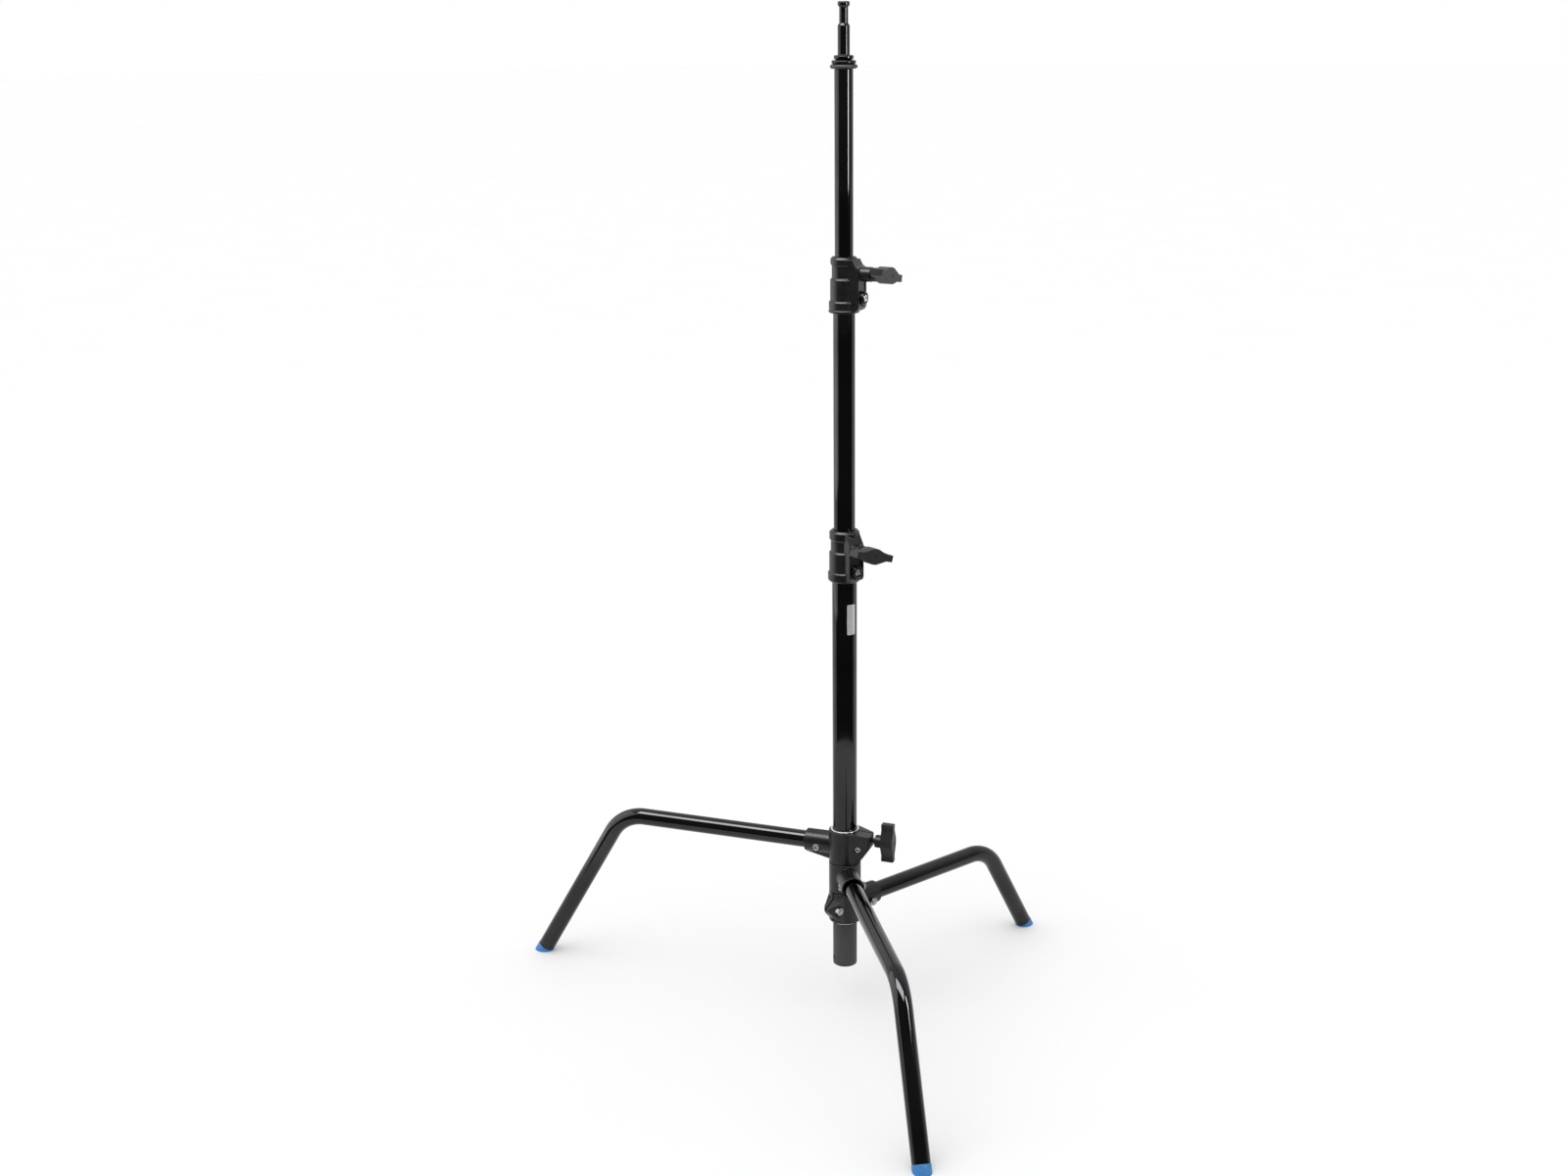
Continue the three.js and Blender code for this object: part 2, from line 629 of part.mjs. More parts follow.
// A plastic bush that plugs a riser's lower end and runs in the tube around it
function bush(name, riserRadius, tubeBottom, runRadius) {
  return piece(name, 'bush', turned([
    [riserRadius - WALL - 3, tubeBottom - 4],
    [runRadius - 0.6, tubeBottom - 4],
    [runRadius, tubeBottom - 3.4],
    [runRadius, tubeBottom - GAP],
    [riserRadius - WALL - GAP, tubeBottom - GAP],
    [riserRadius - WALL - GAP, tubeBottom + 12],
    [riserRadius - WALL - 3, tubeBottom + 12],
    [riserRadius - WALL - 3, tubeBottom - 4],
  ]));
}

function riser1() {
  const shaft = tube(RISER_1_R, RISER_1_R - WALL, RISER_1_BOTTOM, UPPER_COLLAR.step - 3 - GAP);
  const boltHole = alongX(rod(BOLT_R + GAP, 5, 30))
    .rotateZ(THREE.MathUtils.degToRad(UPPER_HANDLE_AZIMUTH))
    .translate(0, 0, UPPER_COLLAR.bolt);
  return [
    bush('riser_1_bush', RISER_1_R, RISER_1_BOTTOM, COLUMN_R - WALL + 0.1 - GAP),
    piece('riser_1_tube', 'blackChrome', cut(shaft, boltHole)),
  ];
}

function riser2() {
  const bore = RISER_2_R - WALL;
  const rivetHeight = RISER_2_TOP - 20;
  const rivetHole = alongY(rod(2.3, 5, 30)).translate(0, 0, rivetHeight);
  const shaft = cut(tube(RISER_2_R, bore, RISER_2_BOTTOM, RISER_2_TOP), rivetHole.clone());
  const rivet = rod(2, 6, RISER_2_R - 0.5); // flush, to pass through the upper collar
  return [
    bush('riser_2_bush', RISER_2_R, RISER_2_BOTTOM, RISER_1_R - WALL - GAP),
    piece('riser_2_tube', 'blackChrome', shaft),
    piece('buffer_ring', 'plastic', turned([
      [bore, 1339.8],
      [15.5, 1339.8],
      [18.2, 1341.6],
      [18.2, 1343.6],
      [16.6, 1345.3],
      [bore, 1345.3],
      [bore, 1339.8],
    ])),
    piece('flange_ring', 'blackSteel', turned([
      [bore, 1345.6],
      [14.5, 1345.6],
      [16.1, 1347],
      [16.1, 1349.6],
      [15.2, 1350.6],
      [bore, 1350.6],
      [bore, 1345.6],
    ])),
    piece('baby_pin', 'blackChrome', cut(babyPin(bore), rivetHole)),
    piece('pin_rivet', 'blackSteel', alongY(rivet).translate(0, 0, rivetHeight)),
  ];
}

function babyPin(bore) {
  const stem = bore - GAP;
  return turned([
    [0, RISER_2_TOP - 40],
    [stem, RISER_2_TOP - 40],
    [stem, 1350.9],
    [10.6, 1350.9],
    [13.2, 1353],
    [13.2, 1356],
    [12.2, 1357],
    [PIN_R, 1357],
    [PIN_R, 1394.4],
    [5.9, 1397],
    [5.9, 1417],
    [PIN_R, 1419.6],
    [PIN_R, PIN_TOP - 1.2],
    [PIN_R - 1.2, PIN_TOP],
    [0, PIN_TOP],
  ]);
}

// ---------------------------------------------------------------- the stand

const stand = new THREE.Group();
stand.add(
  ...turtleBase(),
  ...column(),
  ...lowerCollar(),
  collarHandle('lower', RISER_1_R, LOWER_COLLAR, LOWER_HANDLE_AZIMUTH, 75),
  ...riser1(),
  ...upperCollar(),
  collarHandle('upper', RISER_2_R, UPPER_COLLAR, UPPER_HANDLE_AZIMUTH, 76),
  ...riser2(),
);
stand.position.set(...COLUMN_AT, 0);

const part = new THREE.Group();
part.add(stand);

export default part;
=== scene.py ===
"""A century stand in black chrome and satin castings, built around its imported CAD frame.

Shapes are in millimetres, in the frame of the CAD part, and become metres when a piece is made.
Leg pieces are laid out with their arm along +X, collar pieces with their clamp block along +X.
"""
import math

import bmesh
import bpy
from mathutils import Matrix, Vector


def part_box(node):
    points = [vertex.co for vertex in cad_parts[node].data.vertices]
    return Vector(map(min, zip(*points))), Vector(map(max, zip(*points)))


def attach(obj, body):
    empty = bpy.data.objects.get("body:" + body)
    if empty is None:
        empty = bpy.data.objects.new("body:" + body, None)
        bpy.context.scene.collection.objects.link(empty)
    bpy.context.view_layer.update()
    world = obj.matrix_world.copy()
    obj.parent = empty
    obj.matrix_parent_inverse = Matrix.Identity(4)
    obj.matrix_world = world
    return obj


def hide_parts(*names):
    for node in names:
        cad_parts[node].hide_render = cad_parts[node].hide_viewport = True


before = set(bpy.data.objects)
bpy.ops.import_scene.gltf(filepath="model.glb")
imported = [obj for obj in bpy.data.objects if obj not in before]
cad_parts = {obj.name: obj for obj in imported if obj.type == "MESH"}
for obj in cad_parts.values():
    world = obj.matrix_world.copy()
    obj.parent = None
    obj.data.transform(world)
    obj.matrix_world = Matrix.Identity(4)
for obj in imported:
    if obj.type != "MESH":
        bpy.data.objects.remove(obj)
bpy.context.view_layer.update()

MM = 0.001
SIDES = 96  # sides of a tube or a turned piece
SMALL_SIDES = 40  # sides of a bolt or a screw
GAP = 0.3  # between neighbouring pieces
VOXEL = 0.5  # grain of a casting's skin before it is smoothed
HANDLE_VOXEL = 0.34  # the same for a T-handle


# ---------------------------------------------------------------- dimensions, as in the CAD part

def middle(node):
    """The middle of a CAD node's box, in millimetres."""
    low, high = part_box(node)
    return (low + high) / 2 / MM


def bottom_of(node):
    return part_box(node)[0].z / MM


def top_of(node):
    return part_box(node)[1].z / MM


COLUMN_X, COLUMN_Y, _ = middle("base_column")

COLUMN_R = 17.5
RISER_1_R = 15.0
RISER_2_R = 12.5
PIN_R = 8.0
BUFFER_R = 18.2
FLANGE_R = 16.2
SPIGOT_R = 14.0
WALL = 2.0

COLUMN_BORE_R = COLUMN_R - WALL + 0.1

LABEL_AZIMUTH = -39.3

LEG_R = 12.5
LEG_BEND_R = 62.0
LEG_START = 21.6
CAP_R = 13.0
CAP_THIN = 1.0
# Azimuth, height of the arm, reach of the knee's corner, reach of the foot
LEGS = {
    "top": (180.0, 246.7, 354.0, 496.9),
    "middle": (300.4, 201.1, 354.0, 477.7),
    "low": (60.3, 155.1, 293.8, 384.0),
}

HUB_R = 23.2
HUB_BORE_R = 17.8
SOCKET_R = 16.6
SOCKET_REACH = 58.0
LEG_BOLT_REACH = 39.0
LEG_BOLT_DROP = 4.5
LEG_BOLT_SEAT = 13.6
SLIT = 2.2
# Top and bottom from the arm's axis, height of the socket's ridge, side of the wide ear,
# side of the bolt heads, shape of the lobe
HUBS = {
    "top": (23.9, -24.3, 19.0, 1, 1, "flat"),
    "middle": (19.7, -24.0, 19.7, 1, -1, "peaked"),
    "low": (20.4, -25.8, 20.4, -1, 1, "peaked"),
}
# Reach, half-width, clamp bolt's reach and rise, seats in the wide and the narrow ear
LOBES = {
    "flat": (44.0, 19.5, 25.2, 1.3, 14.2, 9.5),
    "peaked": (38.0, 17.0, 24.8, -2.2, 13.0, 9.0),
}
KNOB_HEIGHT = LEGS["top"][1] + 11.3
POST_SLOT_AZIMUTH = 218

BOLT_R = 3.0
HEAD_R = 5.2
HEAD_LENGTH = 3.0
HEXAGON_R = 2.9  # of a bolt's socket, to its corners
NUT_R = 6.2  # to its corners
NUT_THICK = 5.0
NUT_SINK = 2.2  # of a leg bolt's nut, below the seat of its head
RIVET_LENGTH = 6.0
SNAP_RING_TOP = 2.1  # below the lowest hub
SNAP_RING_BOTTOM = 4.2
SCREW_R = 4.0
SCREW_IN_HANDLE = 20.0  # from the handle's neck to the screw's end
PAD_R = 5.0
PAD_THICK = 2.3
PAD_TRAVEL = 2.0

BLOCK_REACH = 27.5
BLOCK_HALF = 12.6
CHANNEL_HALF = 10.6
CHANNEL_DEPTH = 7.0  # from the collar bolt's outer face to the channel's floor
COLLAR_BOLT_R = 8.6
COLLAR_WASHER_R = 9.4
NECK_GAP = 2.0  # between a collar's boss and the neck of its T-handle
COLLAR_HANDLE_HALF = 31.8
COLUMN_KNOB_HALF = 28.6
COLUMN_KNOB_NECK = 47.0

# From the bottom up, the radii are of the flange, lower body, upper body, top ring and mouth.
# The levels are the bottom, the flange's top, the step between the bodies, the top ring's start and the top.
COLLARS = {
    "lower": {
        "body": "column",
        "tubes": (COLUMN_R, RISER_1_R),
        "radii": (23.2, 21.4, 19.2, 21.1, 18.0),
        "levels": (645.3, 660.0, 689.0, 705.5, 719.0),
        "foot": [(20.6, 645.3), (23.2, 647.9)],
        "handle_height": 693.6,
        "bolt_height": 663.2,
        "bolt_face": 31.2,
        "boss": 39.0,
        "azimuth": -32.9,
        "bar_angle": 75.0,
    },
    "upper": {
        "body": "riser_1",
        "tubes": (RISER_1_R, RISER_2_R),
        "radii": (20.7, 18.8, 16.6, 18.4, 16.0),
        "levels": (1021.0, 1037.5, 1067.5, 1085.3, 1096.0),
        "foot": [
            (19.4, 1021.0),
            (21.2, 1022.0),
            (21.2, 1024.4),
            (20.1, 1025.2),
            (20.1, 1026.4),
            (20.7, 1027.2),
        ],
        "handle_height": 1074.0,
        "bolt_height": 1042.0,
        "bolt_face": 33.0,
        "boss": 42.0,
        "azimuth": -7.5,
        "bar_angle": 76.0,
    },
}


# ---------------------------------------------------------------- shapes: a shape is (points, faces)

def skin(rings, closed=False):
    """Faces between rings of points with equal counts. A ring of one point is a tip."""
    points, numbered = [], []
    count = max(len(ring) for ring in rings)
    for ring in rings:
        start = len(points)
        points.extend(Vector(point) for point in ring)
        if len(ring) == 1:
            numbered.append([start] * count)
        else:
            numbered.append(list(range(start, start + count)))
    faces = []
    followers = numbered[1:] + ([numbered[0]] if closed else [])
    for ring, after in zip(numbered, followers):
        for i in range(count):
            j = (i + 1) % count
            corners = list(dict.fromkeys((ring[i], ring[j], after[j], after[i])))
            if len(corners) > 2:
                faces.append(corners)
    return points, faces


def softened(outline, fillet, closed):
    """An outline of (a, b) pairs with its corners rounded off."""
    soft = []
    count = len(outline)
    for i, corner in enumerate(outline):
        if not closed and i in (0, count - 1):
            soft.append(corner)
            continue
        here = Vector(corner)
        before = Vector(outline[i - 1]) - here
        after = Vector(outline[(i + 1) % count]) - here
        cut = min(fillet, before.length * 0.45, after.length * 0.45)
        start = here + before.normalized() * cut
        end = here + after.normalized() * cut
        for t in (0.0, 0.33, 0.67, 1.0):
            soft.append(tuple(start * (1 - t) ** 2 + here * 2 * t * (1 - t) + end * t ** 2))
    return soft


def turned(outline, fillet=0.0, sides=SIDES):
    """A solid of revolution about Z from (radius, height) pairs. Without a point on the axis it is a ring."""
    closed = outline[0][0] > 0
    if fillet:
        outline = softened(outline, fillet, closed)
    rings = []
    for radius, height in outline:
        if radius < 1e-6:
            rings.append([(0, 0, height)])
            continue
        turns = (2 * math.pi * i / sides for i in range(sides))
        rings.append([(radius * math.cos(a), radius * math.sin(a), height) for a in turns])
    return skin(rings, closed)


def rod(radius, start, end, sides=SIDES):
    return turned([(0, start), (radius, start), (radius, end), (0, end)], 0, sides)


def ring(outer, inner, start, end, fillet=0.3):
    return turned([(inner, start), (outer, start), (outer, end), (inner, end)], fillet)


def loft(rings):
    """A solid through rings of points, closed by a flat face at each end."""
    points, faces = skin(rings)
    count = len(rings[0])
    faces.append(list(range(count)))
    faces.append(list(range(len(points) - count, len(points))))
    return points, faces


def prism(outline, start, end):
    """An outline of (x, y) pairs raised from one height to another."""
    return loft([[(x, y, height) for x, y in outline] for height in (start, end)])


def slab(outline, half_width):
    """A side view of (x, z) pairs, made half_width thick to each side."""
    return moved(prism(outline, -half_width, half_width), Matrix.Rotation(math.pi / 2, 4, "X"))


def box(low, high):
    outline = [(low[0], low[1]), (high[0], low[1]), (high[0], high[1]), (low[0], high[1])]
    return prism(outline, low[2], high[2])


def moved(shape, *matrices):
    points, faces = shape
    for matrix in matrices:
        points = [matrix @ point for point in points]
    return points, faces


def shift(x=0.0, y=0.0, z=0.0):
    return Matrix.Translation((x, y, z))


def spin(degrees, axis="Z"):
    return Matrix.Rotation(math.radians(degrees), 4, axis)


ALONG_X = spin(90, "Y")
ALONG_Y = spin(-90, "X")


def placed(azimuth=0.0, height=0.0):
    """From a leg's or a collar's own layout to its place about the column."""
    return shift(COLUMN_X, COLUMN_Y, height) @ spin(azimuth)


# ---------------------------------------------------------------- pieces

def mesh_object(name, shapes):
    """One mesh object from shapes in millimetres, with its normals facing out."""
    work = bmesh.new()
    for points, faces in shapes:
        corners = [work.verts.new(point * MM) for point in points]
        for face in faces:
            work.faces.new([corners[i] for i in face])
    bmesh.ops.recalc_face_normals(work, faces=work.faces)
    mesh = bpy.data.meshes.new(name)
    work.to_mesh(mesh)
    work.free()
    obj = bpy.data.objects.new(name, mesh)
    bpy.context.collection.objects.link(obj)
    return obj


def bake(obj):
    """Turn an object's modifiers into plain mesh."""
    graph = bpy.context.evaluated_depsgraph_get()
    mesh = bpy.data.meshes.new_from_object(obj.evaluated_get(graph))
    obj.modifiers.clear()
    obj.data = mesh


def combine(obj, operation, shapes, overlapping=False):
    """Carve shapes out of an object, or keep only what it shares with them."""
    tool = mesh_object("tool", shapes)
    change = obj.modifiers.new("combine", "BOOLEAN")
    change.operation = operation
    change.solver = "EXACT"
    change.use_self = overlapping
    change.object = tool
    bake(obj)
    bpy.data.objects.remove(tool)


def carve(obj, cuts):
    combine(obj, "DIFFERENCE", cuts, overlapping=True)


def finish(obj, material, body, nodes, sharp=40):
    """Give a piece its material and its body, and hide the CAD nodes that it stands for."""
    obj.data.materials.clear()
    obj.data.materials.append(material)
    for face in obj.data.polygons:
        face.use_smooth = True
    if sharp:
        edges = bmesh.new()
        edges.from_mesh(obj.data)
        for edge in edges.edges:
            if len(edge.link_faces) == 2 and edge.calc_face_angle() > math.radians(sharp):
                edge.smooth = False
        edges.to_mesh(obj.data)
        edges.free()
    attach(obj, body)
    if nodes:
        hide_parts(*nodes)


def plain(name, shapes, material, body, place=None, cuts=(), bevel=0.0, nodes=None):
    """A machined piece: crisp shapes, with a small bevel on its edges where one is asked for."""
    place = place or placed()
    obj = mesh_object(name + "_look", [moved(shape, place) for shape in shapes])
    if cuts:
        carve(obj, [moved(shape, place) for shape in cuts])
    if bevel:
        edge = obj.modifiers.new("bevel", "BEVEL")
        edge.width = bevel * MM
        edge.segments = 3
        edge.angle_limit = math.radians(35)
        edge.limit_method = "ANGLE"
        bake(obj)
    finish(obj, material, body, [name] if nodes is None else nodes)


def cast(name, shapes, cuts, material, body, place, softness=3, voxel=VOXEL):
    """A cast or moulded piece: its shapes melted together, with soft edges and fillets."""
    obj = mesh_object(name + "_look", [moved(shape, place) for shape in shapes])
    carve(obj, [moved(shape, place) for shape in cuts])
    melt = obj.modifiers.new("melt", "REMESH")
    melt.mode = "VOXEL"
    melt.voxel_size = voxel * MM
    soften = obj.modifiers.new("soften", "SMOOTH")
    soften.factor = 0.5
    soften.iterations = softness
    thin = obj.modifiers.new("thin", "DECIMATE")
    thin.ratio = 0.3
    bake(obj)
    finish(obj, material, body, [name], sharp=0)


# ---------------------------------------------------------------- materials

def material(name, color, metallic, roughness, **sockets):
    made = bpy.data.materials.new(name)
    made.use_nodes = True
    shader = made.node_tree.nodes["Principled BSDF"]
    shader.inputs["Base Color"].default_value = (*color, 1)
    shader.inputs["Metallic"].default_value = metallic
    shader.inputs["Roughness"].default_value = roughness
    for socket, value in sockets.items():
        shader.inputs[socket.replace("_", " ")].default_value = value
    made.diffuse_color = (*color, 1)
    return made


def shader_of(made):
    return made.node_tree.nodes["Principled BSDF"]


def noise(made, scale, detail=4.0, stretch=(1, 1, 1)):
    """Noise over the object, in marks per metre, stretched along an axis where asked."""
    nodes, links = made.node_tree.nodes, made.node_tree.links
    where = nodes.new("ShaderNodeTexCoord")
    mapping = nodes.new("ShaderNodeMapping")
    mapping.inputs["Scale"].default_value = stretch
    texture = nodes.new("ShaderNodeTexNoise")
    texture.inputs["Scale"].default_value = scale
    texture.inputs["Detail"].default_value = detail
    links.new(where.outputs["Object"], mapping.inputs["Vector"])
    links.new(mapping.outputs["Vector"], texture.inputs["Vector"])
    return texture.outputs["Fac"]


def spread(made, source, low, high):
    """Map the middle of a 0-1 source to a range of values."""
    node = made.node_tree.nodes.new("ShaderNodeMapRange")
    node.inputs["From Min"].default_value = 0.3
    node.inputs["From Max"].default_value = 0.7
    node.inputs["To Min"].default_value = low
    node.inputs["To Max"].default_value = high
    made.node_tree.links.new(source, node.inputs["Value"])
    return node.outputs["Result"]


def vary_roughness(made, source, low, high):
    made.node_tree.links.new(spread(made, source, low, high), shader_of(made).inputs["Roughness"])


def vary_color(made, source, first, second):
    nodes, links = made.node_tree.nodes, made.node_tree.links
    mix = nodes.new("ShaderNodeMix")
    mix.data_type = "RGBA"
    mix.inputs["A"].default_value = (*first, 1)
    mix.inputs["B"].default_value = (*second, 1)
    links.new(spread(made, source, 0, 1), mix.inputs["Factor"])
    links.new(mix.outputs["Result"], shader_of(made).inputs["Base Color"])


def bump(made, source, height_mm, strength=1.0):
    nodes, links = made.node_tree.nodes, made.node_tree.links
    node = nodes.new("ShaderNodeBump")
    node.inputs["Strength"].default_value = strength
    node.inputs["Distance"].default_value = height_mm * MM
    links.new(source, node.inputs["Height"])
    links.new(node.outputs["Normal"], shader_of(made).inputs["Normal"])


def black_chrome():
    made = material("black_chrome", (0.042, 0.042, 0.044), 1.0, 0.09)
    vary_roughness(made, noise(made, 25, 2), 0.055, 0.085)
    vary_color(made, noise(made, 14, 5), (0.034, 0.034, 0.036), (0.05, 0.05, 0.052))
    return made


def cast_black():
    made = material("casting", (0.01, 0.01, 0.01), 0.0, 0.34, Specular_IOR_Level=0.36)
    vary_roughness(made, noise(made, 900, 3), 0.24, 0.4)
    vary_color(made, noise(made, 90, 6), (0.003, 0.003, 0.003), (0.009, 0.009, 0.009))
    bump(made, noise(made, 650, 4), 0.18, 0.7)
    return made


def post_grey():
    made = material("post_paint", (0.03, 0.03, 0.031), 0.0, 0.5, Specular_IOR_Level=0.5)
    vary_roughness(made, noise(made, 500, 4), 0.44, 0.6)
    vary_color(made, noise(made, 40, 6, (1, 1, 0.4)), (0.018, 0.018, 0.019), (0.032, 0.032, 0.033))
    bump(made, noise(made, 1200, 3), 0.06, 0.5)
    return made


def handle_black():
    made = material("handle_plastic", (0.01, 0.01, 0.01), 0.0, 0.38, Specular_IOR_Level=0.34)
    vary_roughness(made, noise(made, 700, 3), 0.34, 0.5)
    vary_color(made, noise(made, 120, 5), (0.006, 0.006, 0.006), (0.012, 0.012, 0.012))
    bump(made, noise(made, 1300, 3), 0.05, 0.45)
    return made


def bright_zinc():
    made = material("zinc", (0.3, 0.3, 0.295), 1.0, 0.26)
    vary_roughness(made, noise(made, 400, 5), 0.18, 0.36)
    vary_color(made, noise(made, 220, 5), (0.24, 0.24, 0.235), (0.38, 0.38, 0.375))
    bump(made, noise(made, 1600, 2), 0.008, 0.3)
    return made


def bright_steel():
    made = material("bright_steel", (0.72, 0.72, 0.71), 1.0, 0.22)
    vary_roughness(made, noise(made, 300, 4, (1, 1, 4)), 0.16, 0.3)
    vary_color(made, noise(made, 200, 4), (0.66, 0.66, 0.65), (0.78, 0.78, 0.77))
    return made


def black_steel():
    made = material("black_steel", (0.022, 0.022, 0.023), 0.9, 0.24)
    vary_roughness(made, noise(made, 500, 4), 0.18, 0.32)
    vary_color(made, noise(made, 150, 4), (0.018, 0.018, 0.019), (0.028, 0.028, 0.029))
    bump(made, noise(made, 1500, 2), 0.01, 0.3)
    return made


def ring_rubber():
    made = material("ring_rubber", (0.018, 0.018, 0.018), 0.0, 0.55)
    vary_roughness(made, noise(made, 600, 3), 0.48, 0.64)
    vary_color(made, noise(made, 150, 4), (0.014, 0.014, 0.014), (0.024, 0.024, 0.024))
    bump(made, noise(made, 1500, 2), 0.03, 0.4)
    return made


def blue_vinyl():
    made = material("blue_vinyl", (0.018, 0.165, 0.445), 0.0, 0.42)
    vary_roughness(made, noise(made, 300, 4), 0.36, 0.52)
    vary_color(made, noise(made, 110, 5), (0.014, 0.15, 0.41), (0.022, 0.18, 0.48))
    bump(made, noise(made, 900, 3), 0.03, 0.4)
    return made


def nylon():
    made = material("nylon", (0.75, 0.73, 0.66), 0.0, 0.45)
    vary_roughness(made, noise(made, 300, 3), 0.4, 0.55)
    vary_color(made, noise(made, 120, 4), (0.7, 0.68, 0.6), (0.78, 0.76, 0.69))
    return made


def label_metal():
    made = material("label_metal", (0.6, 0.6, 0.61), 0.6, 0.35)
    vary_roughness(made, noise(made, 300, 4, (1, 1, 8)), 0.3, 0.42)
    vary_color(made, noise(made, 200, 5), (0.58, 0.58, 0.59), (0.64, 0.64, 0.65))
    return made


CHROME = black_chrome()
CASTING = cast_black()
POST = post_grey()
HANDLE = handle_black()
ZINC = bright_zinc()
BRIGHT_STEEL = bright_steel()
BLACK_STEEL = black_steel()
RUBBER = ring_rubber()
BLUE = blue_vinyl()
NYLON = nylon()
LABEL = label_metal()


# ---------------------------------------------------------------- fasteners

def threads(radius, start, end, pitch=1.0, depth=0.35):
    """The outline of a thread's ridges from one height to another."""
    outline = []
    height = start
    while height + pitch < end:
        outline += [(radius - depth, height), (radius, height + pitch / 2)]
        height += pitch
    return outline + [(radius - depth, end)]


def socket_bolt(name, place, body, seat_face, tip):
    """A socket-head bolt along +Y: its head's outer face at y = seat_face, its tip at y = tip."""
    under = seat_face - HEAD_LENGTH
    outline = [
        (0, tip),
        (BOLT_R - 0.7, tip),
        (BOLT_R, tip + 0.7),
        *threads(BOLT_R, tip + 0.8, tip + 11),
        (BOLT_R, under),
        (HEAD_R - 0.2, under),
        (HEAD_R, under + 0.3),
        (HEAD_R, seat_face - 0.8),
        (HEAD_R - 0.3, seat_face - 0.25),
        (HEAD_R - 0.9, seat_face),
        (3.6, seat_face),
        (3.3, seat_face - 0.3),
        (HEXAGON_R, seat_face - 0.5),
        (0, seat_face - 0.5),
    ]
    bolt = moved(turned(outline, 0, SMALL_SIDES), ALONG_Y)
    hexagon = moved(rod(HEXAGON_R, seat_face - HEAD_LENGTH * 0.75, seat_face + 1, 6), ALONG_Y)
    plain(name, [bolt], ZINC, body, place, [hexagon])


def hex_nut(name, place, body, seat):
    """A nut whose inner face is just clear of y = -seat, with chamfered corners on both faces."""
    inner = -seat - GAP
    outer = inner - NUT_THICK
    cone = [
        (0, outer - 0.1),
        (NUT_R * 0.87, outer - 0.1),
        (NUT_R + 0.2, outer + 0.9),
        (NUT_R + 0.2, inner - 0.9),
        (NUT_R * 0.9, inner + 0.1),
        (0, inner + 0.1),
    ]
    bore = rod(BOLT_R + GAP, outer - 3, inner + 3, SMALL_SIDES)
    nut = mesh_object(name + "_look", [moved(rod(NUT_R, outer, inner, 6), ALONG_Y, place)])
    combine(nut, "INTERSECT", [moved(turned(cone), ALONG_Y, place)])
    carve(nut, [moved(bore, ALONG_Y, place)])
    finish(nut, ZINC, body, [name])


# ---------------------------------------------------------------- T-handle, screw and brake pad

def handle_set(prefix, screw_name, handle_name, place, half, touch, neck, bar_angle):
    """Pad, screw and T-handle along +X: the pad touches at x = touch, the neck starts at x = neck."""
    pad_end = touch + PAD_THICK
    pad = turned([(0, touch), (PAD_R, touch), (PAD_R, pad_end), (0, pad_end)], 0.3, SMALL_SIDES)
    plain(f"{prefix}_brake_pad", [moved(pad, ALONG_X)], NYLON, f"{prefix}_pad", place)
    start = pad_end + GAP
    end = neck + SCREW_IN_HANDLE
    screw_outline = [
        (0, start),
        (SCREW_R - 1, start),
        (SCREW_R, start + 1),
        *threads(SCREW_R, start + 1.1, neck + 2, 1.25, 0.45),
        (SCREW_R, neck + 2.2),
        (SCREW_R, end),
        (0, end),
    ]
    screw = moved(turned(screw_outline, 0, SMALL_SIDES), ALONG_X)
    plain(screw_name, [screw], ZINC, f"{prefix}_knob", place)
    t_handle(handle_name, f"{prefix}_knob", place, half, neck, bar_angle)


def t_handle(name, body, place, half, neck, bar_angle):
    """A bar that is thick in the middle and flat at its two ends, on a round neck."""
    end_half, middle_half, end_length = 4.8, 11.0, 7.5
    bar_start = neck + 9.5
    bar_end = bar_start + 18
    side = half - end_length
    right = [(half, end_half), (side, end_half), (side, end_half - 1.3), (4, middle_half)]
    upper = right + [(-x, y) for x, y in reversed(right)]
    lower = [(-x, -y) for x, y in upper]
    bar = prism(upper + lower, bar_start, bar_end)
    stem = turned([(0, neck), (8.7, neck), (9.3, neck + 0.8), (9.3, bar_start + 2), (0, bar_start + 2)])
    dimple = rod(1.7, bar_end - 1.6, bar_end + 2, SMALL_SIDES)
    bore = rod(SCREW_R + GAP, neck - 2, neck + SCREW_IN_HANDLE + GAP, SMALL_SIDES)
    turn = spin(bar_angle)
    shapes = [moved(shape, turn, ALONG_X) for shape in (bar, stem)]
    cuts = [moved(shape, turn, ALONG_X) for shape in (dimple, bore)]
    cast(name, shapes, cuts, HANDLE, body, place, softness=2, voxel=HANDLE_VOXEL)


# ---------------------------------------------------------------- turtle base

def roof(ridge_at_hub):
    """The gable over a leg socket: a ridge from the hub to the mouth, with flanks down to the round sides."""
    rings = []
    for x, ridge in ((0, ridge_at_hub), (SOCKET_REACH - 2, SOCKET_R + 0.8)):
        lean = math.acos(SOCKET_R / ridge)
        half, shoulder = SOCKET_R * math.sin(lean), SOCKET_R * math.cos(lean)
        rings.append([(x, 0, ridge), (x, half, shoulder), (x, half, 0), (x, -half, 0), (x, -half, shoulder)])
    return loft(rings)


